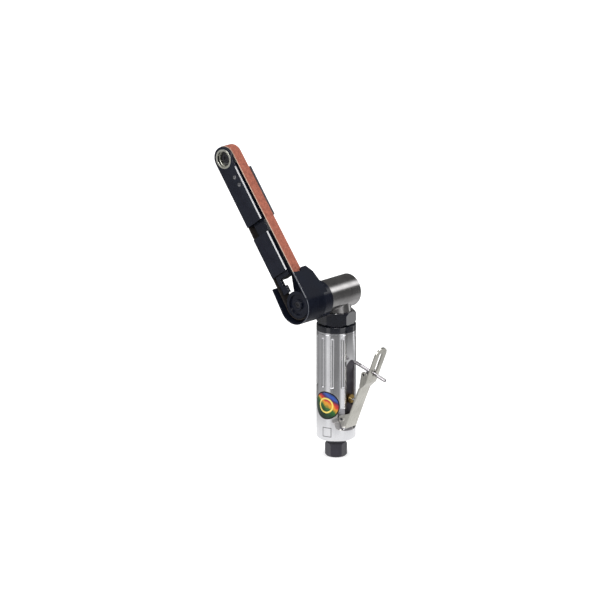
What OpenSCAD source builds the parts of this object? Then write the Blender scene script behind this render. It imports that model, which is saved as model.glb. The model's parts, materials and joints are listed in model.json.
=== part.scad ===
// Compressed-air belt file: barrel handle with vane motor, right-angle head, sprung belt arm.
// Z runs up the barrel, X points to the throttle lever, Y runs along the head to its closed end.
// The origin is on the barrel axis, at the mouth of the air inlet.

/* [Barrel] */
// Diameter of the barrel
barrel_d = 43.5; // [42:0.5:47]
// Length of the barrel between its bottom face and the lock ring
barrel_len = 124.5; // [122:0.5:130]
// Radius of the flat lip round the inlet on the bottom face
barrel_lip_r = 12; // [11:0.5:14]
// Height of the rounded bottom edge
barrel_round = 4.1; // [2:0.1:6]
// Radius of the cutter that makes the grip flutes
flute_r = 3; // [2:0.1:4]
// Depth of the grip flutes
flute_depth = 1.1; // [0.5:0.1:1.5]
// Number of flute places round the barrel, one of them taken by the lever pocket
flute_places = 12; // [10:1:14]
// Distance from the lock ring down to the flutes
flute_top_gap = 4.8; // [3:0.1:10]
// Length of the flutes
flute_len = 58.5; // [30:0.5:70]
// Diameter of the threaded spigot above the barrel
spigot_d = 35; // [34.6:0.1:35.4]
// Depth of the turned line under the lock ring
line_depth = 0.6; // [0.3:0.1:1]
// Diameter of the exhaust holes in the bottom face
exhaust_d = 3.2; // [2:0.1:4]
// Radius of the circle that the exhaust holes lie on
exhaust_circle_r = 14.2; // [13.5:0.1:15]

// Turn of the inlet hexagon and the clamp nut, in degrees
hex_turn = -18.7; // [-30:0.1:30]

/* [Air inlet] */
// Size of the inlet hexagon across its flats
inlet_af = 21; // [19:0.5:24]
// Height of the inlet hexagon
inlet_hex_h = 15.4; // [12:0.1:18]
// Diameter of the round neck above the hexagon
inlet_neck_d = 19.5; // [19:0.1:21]
// Height of the round neck
inlet_neck_h = 3; // [2:0.1:5]
// Diameter of the threaded stub inside the barrel
inlet_stub_d = 15.8; // [14.5:0.1:16.5]
// Length of the threaded stub
inlet_stub_len = 14; // [10:0.5:16]
// Minor diameter of the quarter-inch pipe thread
inlet_bore_d = 11.4; // [10:0.1:12.5]
// Depth of the pipe thread
inlet_bore_depth = 15; // [12:0.5:20]
// Thickness of the inlet seal
seal_t = 0.9; // [0.6:0.1:1.5]
// Diameter of the air passage in the barrel
passage_d = 10; // [8:0.1:11]
// Thickness of the inlet screen
screen_t = 1; // [0.6:0.1:1.5]

/* [Lever] */
// Distance of the lever pin in from the barrel's surface
lever_pin_in = 6.45; // [5.75:0.05:7.25]
// Height of the lever pin above the barrel's bottom face
lever_pin_up = 26.4; // [25:0.1:28]
// Diameter of the lever pin
lever_pin_d = 3; // [2.5:0.1:3.2]
// Length of the lever pin
lever_pin_len = 19; // [18.6:0.1:20]
// Slope of the lever from the barrel axis at rest, in degrees
lever_slope = 22; // [20:0.5:24]
// Throw of the lever, in degrees
lever_throw = 8; // [6:0.5:8]
// Length of the lever above its pin
lever_len = 101.7; // [98:0.1:106]
// Width of the lever
lever_w = 18; // [17.4:0.1:18.4]
// Thickness of the lever's sheet
lever_t = 2.2; // [1.8:0.1:2.4]
// Distance of the lever's inner face from its pin
lever_face = 7.6; // [7.2:0.1:8.4]
// Distance that the paddle steps out from the lever's face
paddle_step = 5.4; // [4:0.1:6]
// Distance from the lever pin up to the paddle's step
paddle_low = 46; // [42:0.5:47]
// Height of the paddle's step
paddle_rise = 11; // [8:0.5:11.5]
// Radius of the lever's ears round the pin
ear_r = 4.2; // [3.4:0.1:4.4]
// Length of the lever's ears above the pin
ear_len = 12.6; // [10:0.1:15]
// Length of the lever below its pin
lever_heel = 6; // [5:0.1:6.4]
// Length of the ears below the pin
ear_drop = 9; // [8:0.1:9.4]
// Space round the ears in the barrel
ear_space = 0.7; // [0.6:0.1:2]
// Width of the slot in the lever
lever_slot_w = 5.2; // [4.6:0.1:6]
// Distance from the lock pin up to the lower end of the lever's slot
lever_slot_low = 3.4; // [3:0.1:3.6]
// Distance from the lever's tip down to the end of its slot
lever_slot_tip = 9; // [7:0.1:14]
// Width of the pocket in the barrel behind the lever
pocket_w = 13.6; // [12:0.1:14]
// Height of the pocket's top above the lever pin
pocket_up = 67; // [60:0.5:68]
// Length of the slope at the pocket's top
pocket_ramp = 17; // [8:0.5:20]
// Wall between the pocket and the motor bore
pocket_wall = 2.7; // [2.2:0.1:3]

/* [Lock bar] */
// Distance of the lock pin from the lever pin, along the lever
lock_pin_along = 64.2; // [64:0.1:66]
// Distance of the lock pin out from the lever pin
lock_pin_out = 7.8; // [7.4:0.1:8.2]
// Diameter of the lock pin
lock_pin_d = 2.6; // [2:0.1:3]
// Diameter of the lock bar
lock_bar_d = 3.8; // [3.4:0.1:4]
// Height of the lock bar's axis over its pin
lock_bar_over = 2.9; // [2.7:0.1:3.2]
// Slope of the lock bar below level, in degrees
lock_bar_slope = 17; // [15:0.5:18]
// Length of the lock bar from its pin towards the barrel
lock_bar_in = 23; // [18:0.5:23.5]
// Length of the lock bar from its pin to its outer end
lock_bar_out = 25; // [22:0.5:30]

/* [Throttle valve] */
// Height of the valve above the lever pin
valve_up = 22.8; // [22:0.1:24]
// Diameter of the brass bush
bush_d = 10; // [9:0.1:10.6]
// Length of the brass bush
bush_len = 13.3; // [12:0.1:14]
// How far the bush stands out of the pocket floor
bush_out = 4; // [2:0.1:4.4]
// Diameter of the valve stem
stem_d = 3.2; // [2.8:0.1:3.6]
// Diameter of the valve disc
disc_d = 7.8; // [7:0.1:8.2]
// Thickness of the valve disc
disc_t = 2; // [1.5:0.1:2.5]
// Thickness of the valve seal
valve_seal_t = 0.8; // [0.5:0.1:1.2]
// Length of the valve spring at rest
valve_spring_len = 13.5; // [12:0.1:14]
// Diameter of the air port from the valve to the motor
port_d = 4.4; // [3:0.1:4.6]
// Distance of the air port from the barrel axis
port_x = 13.2; // [13:0.1:13.4]
// Wall of the barrel above the valve
motor_floor = 4.5; // [3.5:0.1:6]

/* [Motor] */
// Diameter of the motor bore
motor_d = 31; // [30.4:0.1:31.2]
// Height of the rear end plate
rear_plate_h = 10; // [9.5:0.1:11]
// Length of the motor cylinder
cylinder_len = 38; // [34:0.5:40]
// Height of the front end plate
front_plate_h = 10; // [9.5:0.1:11]
// Diameter of the cylinder's bore
cylinder_bore_d = 24.6; // [24.4:0.1:25]
// Offset of the cylinder's bore from the rotor axis
cylinder_offset = 1; // [0.6:0.1:1.2]
// Diameter of the rotor
rotor_d = 21.6; // [20:0.1:21.8]
// Number of vanes
vanes = 5; // [4:1:6]
// Thickness of a vane
vane_t = 1.6; // [1.2:0.1:2]
// Depth of a vane slot
vane_depth = 5; // [4:0.1:5.5]
// Diameter of the rotor shaft
rotor_shaft_d = 8; // [7:0.1:8.4]
// Diameter of the rotor shaft inside the pinion
pinion_seat_d = 6; // [5:0.1:6.4]
// Outer diameter of the shaft bearings
bearing_od = 22; // [20:0.1:22.4]
// Width of the shaft bearings
bearing_w = 7; // [6:0.1:7.4]
// Wall of the spacer sleeve
sleeve_wall = 5; // [4.8:0.1:6]

/* [Head] */
// Height of the lock ring
ring_h = 6.7; // [5:0.1:8]
// Height of the clamp nut
nut_h = 15; // [14:0.1:17]
// Size of the clamp nut across its flats
nut_af = 37.6; // [37.4:0.1:40]
// Height of the nut's inner lip
nut_lip_h = 3.5; // [3:0.1:4]
// Height of the clamping flange under the lip
flange_h = 3.2; // [2.5:0.1:4]
// Diameter of the neck inside the lip
neck_d = 28.8; // [28:0.1:29.6]
// Largest diameter of the dome on the neck
dome_d = 33.6; // [31:0.1:35]
// Gap between the nut and the head
head_lift = 0.6; // [0.4:0.1:1.5]
// Diameter of the head
head_d = 36; // [35:0.1:38]
// Distance from the barrel axis to the head's closed end
head_back = 21.3; // [21:0.1:24]
// Distance from the barrel axis to the head's front shoulder
head_front = 28.4; // [27.5:0.1:30]
// Length of the nose that the belt hub clamps on
nose_len = 16; // [15.5:0.1:18]
// Diameter of the nose
nose_d = 32; // [31:0.1:32.6]
// Outer diameter of the spindle bearings
spindle_bearing_od = 26; // [25.6:0.1:27]
// Width of the spindle bearings
spindle_bearing_w = 8; // [7:0.1:8.4]
// Diameter of the spindle
spindle_d = 9; // [8:0.1:9.2]
// Thickness of the head's end cap
cap_t = 2; // [1.6:0.1:2.4]
// Thickness of the retaining ring
clip_t = 1.2; // [0.8:0.1:1.4]

/* [Bevel gears] */
// Teeth of the pinion on the rotor shaft
pinion_teeth = 10; // [9:1:11]
// Teeth of the gear on the spindle
gear_teeth = 13; // [12:1:14]
// Pitch radius of the gear at its large end
gear_pitch_r = 11; // [10.8:0.1:11.2]
// Height of a tooth above its pitch circle
tooth_add = 0.8; // [0.6:0.1:0.9]
// Depth of a tooth below its pitch circle
tooth_ded = 1.4; // [1.3:0.1:1.5]
// Length of the pinion's collar
pinion_collar = 3; // [2:0.1:3.2]
// Share of the cone's length that the teeth cover
tooth_share = 0.4; // [0.3:0.01:0.42]

/* [Belt] */
// Length of the endless belt
belt_len = 451; // [440:1:470]
// Width of the belt
belt_w = 13; // [12:0.1:13.2]
// Thickness of the belt
belt_t = 1.2; // [0.8:0.1:1.4]
// Diameter of the drive pulley
drive_d = 30.4; // [29:0.1:31]
// Diameter of the idler wheel
idler_d = 24.9; // [24:0.1:26]
// Width of the pulley and the wheel
wheel_w = 13.6; // [13.4:0.1:14]

/* [Belt head and arm] */
// Lean of the arm from the barrel axis, in degrees
arm_tilt = 35.6; // [30:0.1:45]
// Diameter of the belt hub
hub_d = 41.6; // [40:0.1:42]
// Thickness of the hub's front wall
hub_wall = 2.5; // [2:0.1:3]
// Inner half width of the guard
guard_in = 18.9; // [18:0.1:19.2]
// Thickness of the guard's sheet
guard_t = 1.9; // [1.2:0.1:2]
// How far the guard stands out in front of the belt
guard_front = 5.5; // [4:0.1:8]
// Height of the guard over the working run
guard_high = 34.6; // [28:0.1:38]
// Height of the guard's wing over the return run
guard_wing = 28.5; // [18:0.1:30]
// How far the wing leans in towards the belt at its top
wing_lean = 1.9; // [0:0.1:2]
// Length of the guard's collar on the hub
guard_collar = 6.5; // [5:0.1:8]
// How far the guard's side plate reaches back over the hub
guard_reach = 13; // [10:0.1:15]
// Height of the side plate's back edge over the end of the collar
guard_shoulder = 26.6; // [20:0.1:28]
// Height of the knee in the side plate's back edge
guard_knee = 11.7; // [8:0.1:18]
// How far the knee reaches back over the hub
knee_reach = 10.4; // [8.5:0.1:12]
// Distance from the side plate's front edge back to its step
guard_step = 12.6; // [10:0.1:16]
// How much lower the side plate is in front of its step
guard_drop = 3; // [2.5:0.1:5]
// How far the side plate's front part falls towards the step
guard_dip = 1.3; // [0.5:0.1:2]
// Radius of the side plate's corner at the step
guard_round = 3; // [2:0.1:3]
// Reach of the clamp lugs out of the hub
lug_out = 7; // [6:0.1:9]
// Height of the pair of clamp lugs
lug_h = 12; // [10:0.1:14]
// Width of the clamp slot
clamp_slot = 1.2; // [0.8:0.1:1.6]
// Radius of the circle of screws that hold the arm on the hub
arm_screw_r = 13.6; // [12:0.1:15]
// Thickness of the arm's back plates
plate_t = 2.8; // [2:0.1:3]
// Gap between the back plates and the belt's edge
plate_gap = 1; // [0.6:0.1:1.5]
// Half width of the arm on the return side
arm_left = 12; // [10:0.1:12.2]
// Half width of the arm on the working side
arm_right = 8.7; // [7:0.1:10]
// Gap between the belt's edge and the arm's front plates
face_gap = 0.6; // [0.5:0.1:1]
// Thickness of the arm's front plates
face_t = 2.6; // [2.2:0.1:3.2]
// Half width of the front plates on the return side
face_left = 13.4; // [12.6:0.1:13.8]
// Half width of the front plates on the working side
face_right = 11; // [9.5:0.1:11.4]
// Distance from the drive axis to the lower arm's front plate
face_low = 38.7; // [37:0.1:42]
// Distance from the idler axis to the end of the front plate's chamfer
face_top = 13; // [12:0.1:16]
// Chamfer along the working edge of the front plates
arm_chamfer = 1.3; // [1:0.1:2.1]
// Distance from the drive axis to the arm's lower web
arm_web = 34; // [30:0.5:36]
// Distance from the drive axis to the end of the lower arm
arm_end = 86; // [80:0.5:92]
// Width of the arm's lower leg
leg_w = 5; // [4:0.1:6]
// Width of the lower leg's foot
leg_foot_w = 9.4; // [6.5:0.1:11]
// Distance from the drive axis to the top of the lower leg's foot
leg_foot_top = 25.3; // [23:0.1:28]
// Distance from the arm's middle to the lower plate's sloping edge, at its top
low_plate_left = 1.3; // [0.5:0.1:4.4]
// Distance from the arm's middle to the lower plate's sloping edge, at its foot
low_plate_foot = 12; // [8:0.1:13]
// Distance from the drive axis to the foot of the lower plate's sloping edge
low_plate_low = 11; // [9:0.1:12]
// Thickness of the arm's front tab
leg_t = 3; // [2:0.1:4]
// Gap that the telescoping arm closes
slide_gap = 15; // [14:0.1:18]
// Width of the bracket's sliding tongue
tongue_w = 17; // [8:0.1:17.4]
// Depth of the bracket's sliding tongue
tongue_d = 8; // [6:0.1:8.4]
// Length of the tongue inside the lower arm at rest
tongue_in = 24; // [20:0.5:28]
// Wall at the bottom of the tongue's channel
channel_floor = 3; // [2:0.1:5]
// Outer diameter of the idler bearings
idler_bearing_od = 16; // [15:0.1:17]
// Width of one idler bearing
idler_bearing_w = 4; // [3:0.1:4.4]
// Half width of the bracket's back plate on the working side
bracket_right = 13.9; // [12:0.1:15]
// Distance from the idler axis to the top of the bracket's wide back plate
bracket_top = 19; // [14:0.5:24]
// Space between the wheel and the bracket's body
wheel_space = 1; // [0.6:0.1:1.5]
// Distance from the idler axis to the upper tracking screw
tracking_far = 24; // [20:0.5:30]
// Offset of the upper tracking screw from the arm's middle, towards the working side
tracking_side = 2.6; // [0:0.1:3]
// How far the lower tracking screw lies nearer to the working side
tracking_shift = 1.4; // [0:0.1:3]
// Distance between the tracking screws
tracking_pitch = 9.6; // [8:0.1:12]
// Outer diameter of the ring in the bracket's front plate
eye_d = 21.6; // [20:0.1:22.6]
// Bore of the ring in the bracket's front plate
eye_bore = 17.2; // [16.4:0.1:18]
// How far the ring stands out of the front plate
eye_out = 0.4; // [0.2:0.1:0.8]
// Diameter of the idler axle
idler_axle_d = 8; // [6:0.1:8.4]
// Radius of the bracket's boss round the idler axle
axle_boss_r = 9; // [7.5:0.1:10]
// Step on the spindle and the axle that the wheels seat against
seat_step = 1; // [0.6:0.1:1.4]

/* [Fasteners] */
// Diameter of the small machine screws
screw_d = 4; // [3:0.1:4.2]
// Head diameter of the small machine screws
screw_head_d = 7; // [6:0.1:7.4]
// Head height of the small machine screws
screw_head_h = 2.4; // [2:0.1:2.8]

// Length of the screw that holds the drive pulley
pulley_screw_len = 9.5; // [8:0.5:10.5]
// Length of the screw in the idler axle
axle_screw_len = 6.8; // [5:0.1:7.2]
// Diameter of the fine screws
fine_d = 2; // [1.6:0.1:2.2]
// Head diameter of the fine screws
fine_head_d = 4.4; // [3.6:0.1:4.8]
// Head height of the fine screws
fine_head_h = 1.4; // [1:0.1:1.6]

/* [Fits] */
// Radial clearance of turning parts
run_fit = 0.05; // [0.02:0.01:0.1]
// Radial clearance of seated parts
seat_fit = 0.02; // [0.01:0.01:0.05]
// Clearance of sliding and swinging parts
slide_fit = 0.3; // [0.2:0.05:0.4]
// Space round shafts where they pass through walls
shaft_space = 1.2; // [0.6:0.1:1.4]

/* [Hidden] */
$fn = 72;
// Overshoot of every cut
cut = 1;

// Heights up the barrel axis
barrel_r = barrel_d / 2;
barrel_z = inlet_hex_h + inlet_neck_h + seal_t;
barrel_top = barrel_z + barrel_len;
ring_top = barrel_top + ring_h;
nut_top = ring_top + nut_h;
flange_z = nut_top - nut_lip_h - flange_h;
head_r = head_d / 2;
head_z = nut_top + head_lift + head_r;
stub_top = barrel_z + inlet_stub_len;
lever_pin_x = barrel_r - lever_pin_in;
lever_pin_z = barrel_z + lever_pin_up;
valve_z = lever_pin_z + valve_up;
motor_z = valve_z + bush_d / 2 + motor_floor;
motor_r = motor_d / 2;
rear_top = motor_z + rear_plate_h;
cylinder_top = rear_top + cylinder_len;
front_top = cylinder_top + front_plate_h;

// Places across the valve, along X
pocket_x = motor_r + pocket_wall;
bush_outer = pocket_x + bush_out;
bush_inner = bush_outer - bush_len;
disc_inner = bush_inner - run_fit - valve_seal_t - disc_t;
valve_back = disc_inner - valve_spring_len - 2 * seat_fit;
// Place of the lever's face at the valve for a lever at a given slope
function lever_face_x(slope) =
    lever_pin_x + (valve_up + lever_face * sin(slope)) * tan(slope) + lever_face * cos(slope);
stem_tip = lever_face_x(lever_slope) - stem_d / 2 * tan(lever_slope) - slide_fit;

// Bevel gears share one apex where the barrel axis meets the head axis
pinion_pitch_r = gear_pitch_r * pinion_teeth / gear_teeth;
pinion_z = head_z - gear_pitch_r;
pinion_face = gear_pitch_r * tooth_share;
gear_face = pinion_pitch_r * tooth_share;
pinion_bore_r = pinion_pitch_r + tooth_add + 2 * slide_fit;

// Places along the head axis, along Y
spindle_r = spindle_d / 2;
rear_bearing_y = head_back - cap_t - spindle_bearing_w;
nose_end = -head_front - nose_len;
clip_y = nose_end + 2 * slide_fit;
front_bearing_y = clip_y + clip_t;
hub_back = -head_front - slide_fit;
hub_inner = nose_end - slide_fit;
hub_front = hub_inner - hub_wall;
plate_front = hub_front - plate_t;
belt_back = plate_front - plate_gap;
belt_front = belt_back - belt_w;
wheel_back = belt_back + (wheel_w - belt_w) / 2;
wheel_front = wheel_back - wheel_w;
guard_edge = belt_front - guard_front;
arm_face = belt_front + slide_fit;
face_back = belt_front - face_gap;
face_front = face_back - face_t;

// Belt run between the two wheels
drive_r = drive_d / 2;
idler_r = idler_d / 2;
drive_run = drive_r + slide_fit;
idler_run = idler_r + slide_fit;
run_sum = drive_run + idler_run + belt_t;
run_diff = drive_run - idler_run;
free_len = belt_len - PI * run_sum;
wheel_gap = (free_len + sqrt(free_len * free_len - 8 * run_diff * run_diff)) / 4;
bracket_low = arm_end + slide_gap;
tongue_end = arm_end - tongue_in;
tongue_mid = (arm_right - arm_left) / 2;
tongue_y = plate_front - (belt_w - tongue_d) / 3;
channel_end = arm_web + channel_floor;

black = [0.11, 0.13, 0.17];
steel = [0.62, 0.62, 0.64];
bright = [0.85, 0.86, 0.88];
brass = [0.80, 0.60, 0.25];
nickel = [0.74, 0.72, 0.68];
rubber = [0.08, 0.08, 0.08];
bronze = [0.55, 0.42, 0.25];

// Frames that pieces are placed in

// Along the arm: X across the belt loop, Z from the drive axis to the idler axis
module arm_frame() {
    translate([0, 0, head_z]) rotate([0, -arm_tilt, 0]) children();
}

// On the lever: Z up its length, X out of its face
module lever_frame(press = 0) {
    translate([lever_pin_x, 0, lever_pin_z]) rotate([0, lever_slope - press, 0]) children();
}

// On the lock bar: X along the bar to its outer end, origin on the lock pin
module lock_frame() {
    lever_frame() translate([lock_pin_out, 0, lock_pin_along])
        rotate([0, lock_bar_slope - lever_slope, 0]) children();
}

// An outline in X and Z made solid between two places along Y
module along_y(from, to) {
    translate([0, max(from, to), 0]) rotate([90, 0, 0]) linear_extrude(abs(to - from)) children();
}

// A round bar between two places along Y
module bar_y(r, from, to) {
    translate([0, max(from, to), 0]) rotate([90, 0, 0]) cylinder(h = abs(to - from), r = r);
}

// A round bar between two places along X
module bar_x(r, from, to) {
    translate([min(from, to), 0, 0]) rotate([0, 90, 0]) cylinder(h = abs(to - from), r = r);
}

// Shapes that repeat

// A ball bearing as one ring, with a groove in each face between its races
module bearing(od, id, w) {
    groove = 0.4;
    mid_r = (od + id) / 4;
    race = (od - id) / 10;
    difference() {
        cylinder(h = w, d = od);
        translate([0, 0, -cut]) cylinder(h = w + 2 * cut, d = id);
        for (z = [-cut, w - groove]) translate([0, 0, z]) difference() {
            cylinder(h = groove + cut, r = mid_r + race);
            translate([0, 0, -cut]) cylinder(h = groove + 3 * cut, r = mid_r - race);
        }
    }
}

// A socket-head screw: head on top, shank down from Z = 0
module socket_screw(d, head_d, head_h, len) {
    socket_share = 0.55;
    difference() {
        union() {
            cylinder(h = head_h, d = head_d);
            translate([0, 0, -len]) cylinder(h = len, d = d);
        }
        translate([0, 0, head_h * (1 - socket_share)])
            cylinder(h = head_h, d = head_d * socket_share, $fn = 6);
    }
}

// Outline of a straight-toothed gear, with a tooth at a given angle
module gear_outline(teeth, pitch_r, first) {
    pitch = 360 / teeth;
    root_share = 0.24;
    tip_share = 0.11;
    root_half = root_share * pitch;
    tip_half = tip_share * pitch;
    root_r = pitch_r - tooth_ded;
    tip_r = pitch_r + tooth_add;
    polygon([for (i = [0 : teeth - 1], corner = [[root_r, -root_half], [tip_r, -tip_half],
                                                 [tip_r, tip_half], [root_r, root_half]])
        let (a = first + i * pitch + corner[1]) corner[0] * [cos(a), sin(a)]]);
}

// Outline of the belt loop at a distance outside the wheels' running radii
module belt_loop(out) {
    lean = asin(run_diff / wheel_gap);
    low = drive_run + out;
    high = idler_run + out;
    circle(r = low);
    translate([0, wheel_gap]) circle(r = high);
    polygon([[low * cos(lean), low * sin(lean)],
             [high * cos(lean), wheel_gap + high * sin(lean)],
             [-high * cos(lean), wheel_gap + high * sin(lean)],
             [-low * cos(lean), low * sin(lean)]]);
}

// A hexagonal prism with both ends chamfered by a cone
module chamfered_hex(af, h, turn) {
    corner_d = af / cos(30);
    bevel = (corner_d - af) / 2;
    intersection() {
        rotate([0, 0, turn]) cylinder(h = h, d = corner_d, $fn = 6);
        union() {
            cylinder(h = bevel, r1 = af / 2, r2 = corner_d / 2);
            translate([0, 0, bevel]) cylinder(h = h - 2 * bevel, d = corner_d);
            translate([0, 0, h - bevel]) cylinder(h = bevel, r1 = corner_d / 2, r2 = af / 2);
        }
    }
}

// Barrel and air inlet

// Flutes round the barrel, leaving out the place of the lever's pocket
module flutes() {
    top = barrel_top - flute_top_gap - flute_r;
    low = barrel_top - flute_top_gap - flute_len + flute_r;
    for (i = [1 : flute_places - 1]) rotate([0, 0, i * 360 / flute_places])
        translate([barrel_r + flute_r - flute_depth, 0, low]) {
            cylinder(h = top - low, r = flute_r);
            sphere(r = flute_r);
            translate([0, 0, top - low]) sphere(r = flute_r);
        }
}

// Pocket behind the lever, with a slope at its top
module lever_pocket() {
    out = barrel_r + cut;
    top = lever_pin_z + pocket_up;
    along_y(pocket_w / 2, -pocket_w / 2)
        polygon([[pocket_x, lever_pin_z], [pocket_x, top - pocket_ramp], [barrel_r, top],
                 [out, top], [out, lever_pin_z]]);
}

// Side view of the room that one ear needs
module ear_room() {
    circle(r = ear_r + ear_space);
    polygon([[-ear_r - ear_space, 0], [lever_face / 2 - ear_space, -ear_drop - ear_space],
             [barrel_r, -ear_drop - ear_space], [barrel_r, ear_len + ear_space],
             [-ear_r - ear_space, ear_len + ear_space]]);
}

// Room in the barrel for the lever's face and its two ears
module lever_room() {
    lug = lever_w / 2 - lever_t - slide_fit;
    for (press = [0, lever_throw]) lever_frame(press) {
        translate([lever_face - slide_fit, -barrel_r, -ear_drop - ear_space])
            cube([barrel_r, barrel_d, ear_drop + ear_len + 2 * ear_space]);
        along_y(lug, barrel_r) ear_room();
        along_y(-barrel_r, -lug) ear_room();
    }
}

module barrel_housing() {
    arc = [for (a = [0 : 15 : 90])
        [barrel_lip_r + (barrel_r - barrel_lip_r) * sin(a), barrel_z + barrel_round * (1 - cos(a))]];
    line_z = barrel_top - flute_top_gap / 2;
    color(bright) difference() {
        union() {
            rotate_extrude() polygon(concat([[0, barrel_z]], arc, [[barrel_r, barrel_top], [0, barrel_top]]));
            translate([0, 0, barrel_top - cut]) cylinder(h = flange_z - barrel_top + cut, d = spigot_d);
        }
        translate([0, 0, motor_z]) cylinder(h = flange_z, r = motor_r);
        translate([0, 0, barrel_z - cut])
            cylinder(h = inlet_stub_len + screen_t + cut, d = inlet_stub_d + 2 * seat_fit);
        translate([0, 0, barrel_z]) cylinder(h = valve_z - barrel_z, d = passage_d);
        translate([0, 0, valve_z]) bar_x(bush_d / 2 + seat_fit, valve_back, barrel_r + cut);
        translate([port_x, 0, valve_z]) cylinder(h = motor_z - valve_z + cut, d = port_d);
        for (a = [120 : 40 : 240]) rotate([0, 0, a]) translate([exhaust_circle_r, 0, barrel_z - cut])
            cylinder(h = motor_z - barrel_z + 2 * cut, d = exhaust_d);
        translate([0, 0, line_z]) difference() {
            cylinder(h = line_depth, r = barrel_r + cut);
            translate([0, 0, -cut]) cylinder(h = line_depth + 2 * cut, r = barrel_r - line_depth);
        }
        flutes();
        lever_pocket();
        lever_room();
        translate([lever_pin_x, 0, lever_pin_z])
            bar_y(lever_pin_d / 2 + seat_fit, -lever_pin_len / 2 - seat_fit, lever_pin_len / 2 + seat_fit);
    }
}

module inlet_bushing() {
    neck_top = inlet_hex_h + inlet_neck_h;
    color(black) difference() {
        union() {
            chamfered_hex(inlet_af, inlet_hex_h, hex_turn);
            cylinder(h = neck_top, d = inlet_neck_d);
            cylinder(h = stub_top, d = inlet_stub_d);
        }
        translate([0, 0, -cut]) cylinder(h = inlet_bore_depth + cut, d = inlet_bore_d);
        cylinder(h = stub_top + cut, d = passage_d);
    }
}

module inlet_seal() {
    color(rubber) translate([0, 0, barrel_z - seal_t]) difference() {
        cylinder(h = seal_t, d = inlet_neck_d);
        translate([0, 0, -cut]) cylinder(h = seal_t + 2 * cut, d = inlet_stub_d + 2 * seat_fit);
    }
}

module inlet_screen() {
    hole_d = 1.2;
    ring_r = inlet_stub_d / 5;
    color(steel) translate([0, 0, stub_top]) difference() {
        cylinder(h = screen_t, d = inlet_stub_d);
        for (i = [0 : 7]) rotate([0, 0, i * 45]) translate([ring_r, 0, -cut])
            cylinder(h = screen_t + 2 * cut, d = hole_d);
        translate([0, 0, -cut]) cylinder(h = screen_t + 2 * cut, d = hole_d);
    }
}

module lock_ring() {
    color(black) translate([0, 0, barrel_top]) difference() {
        cylinder(h = ring_h, d = barrel_d);
        translate([0, 0, -cut]) cylinder(h = ring_h + 2 * cut, d = spigot_d + 2 * seat_fit);
    }
}

// Throttle valve

module valve_bush() {
    color(brass) translate([0, 0, valve_z]) difference() {
        bar_x(bush_d / 2, bush_inner, bush_outer);
        bar_x(stem_d / 2 + run_fit, bush_inner - cut, bush_outer + cut);
        bar_x(disc_d / 2 - valve_seal_t, bush_inner - cut, port_x + port_d / 2);
        translate([port_x, 0, 0]) cylinder(h = bush_d, d = port_d);
    }
}

module valve_stem() {
    tip_round = stem_d / 6;
    color(steel) translate([0, 0, valve_z]) {
        bar_x(disc_d / 2, disc_inner, disc_inner + disc_t);
        bar_x(stem_d / 2, disc_inner, stem_tip - tip_round);
        translate([stem_tip - tip_round, 0, 0]) rotate([0, 90, 0])
            cylinder(h = tip_round, r1 = stem_d / 2, r2 = stem_d / 2 - tip_round);
    }
}

module valve_seal() {
    color(rubber) translate([0, 0, valve_z]) difference() {
        bar_x(disc_d / 2, disc_inner + disc_t, disc_inner + disc_t + valve_seal_t);
        bar_x(stem_d / 2 + seat_fit, disc_inner, bush_inner);
    }
}

module valve_spring() {
    wire = 1;
    color(steel) translate([0, 0, valve_z]) difference() {
        bar_x(disc_d / 2 - wire / 2, valve_back + seat_fit, disc_inner - seat_fit);
        bar_x(disc_d / 2 - wire * 1.5, valve_back - cut, disc_inner + cut);
    }
}

// Throttle lever and its lock bar

module lever_pin() {
    color(steel) translate([lever_pin_x, 0, lever_pin_z])
        bar_y(lever_pin_d / 2, -lever_pin_len / 2, lever_pin_len / 2);
}

// Side view of the lever's lower ears
module ear_outline() {
    face = lever_face + lever_t;
    circle(r = ear_r);
    polygon([[-ear_r, 0], [-ear_r * sin(30), ear_r * cos(30)], [lever_face, ear_len], [face, ear_len],
             [face, -lever_heel], [lever_face / 2, -ear_drop + slide_fit]]);
}

// Side view of the upper ears that hold the lock pin
module lock_ear_outline() {
    rim = 1.8;
    r = lock_pin_d / 2 + rim;
    paddle = lever_face + paddle_step;
    translate([lock_pin_out, lock_pin_along]) circle(r = r);
    polygon([[lock_pin_out - r, lock_pin_along], [lever_face, paddle_low + r],
             [lever_face + lever_t, paddle_low], [paddle + lever_t, paddle_low + paddle_rise],
             [paddle + lever_t, lock_pin_along + r], [lock_pin_out, lock_pin_along + r]]);
}

// Side view of the lever's sheet, with the paddle stepped out
module lever_side() {
    paddle = lever_face + paddle_step;
    step_top = paddle_low + paddle_rise;
    polygon([[lever_face, -lever_heel], [lever_face, paddle_low], [paddle, step_top], [paddle, lever_len],
             [paddle + lever_t, lever_len], [paddle + lever_t, step_top],
             [lever_face + lever_t, paddle_low], [lever_face + lever_t, -lever_heel]]);
}

// Front view of the lever, with a round tip and a slot for the lock bar
module lever_front() {
    slot_low = lock_pin_along + lever_slot_low;
    slot_high = lever_len - lever_slot_tip;
    side = lever_w / 2;
    difference() {
        union() {
            translate([-side, -lever_heel]) square([lever_w, lever_heel + lever_len - side]);
            translate([0, lever_len - side]) circle(r = side);
        }
        translate([-lever_slot_w / 2, slot_low]) square([lever_slot_w, slot_high - slot_low]);
        for (z = [slot_low, slot_high]) translate([0, z]) circle(d = lever_slot_w);
    }
}

module throttle_lever() {
    side = lever_w / 2;
    color(nickel) lever_frame() difference() {
        union() {
            intersection() {
                along_y(-side, side) lever_side();
                rotate([90, 0, 90]) linear_extrude(lever_len) lever_front();
            }
            for (y = [-side + lever_t, side]) along_y(y, y - lever_t) {
                ear_outline();
                lock_ear_outline();
            }
        }
        bar_y(lever_pin_d / 2 + run_fit, -lever_w, lever_w);
        translate([lock_pin_out, 0, lock_pin_along]) bar_y(lock_pin_d / 2 + seat_fit, -lever_w, lever_w);
    }
}

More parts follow.
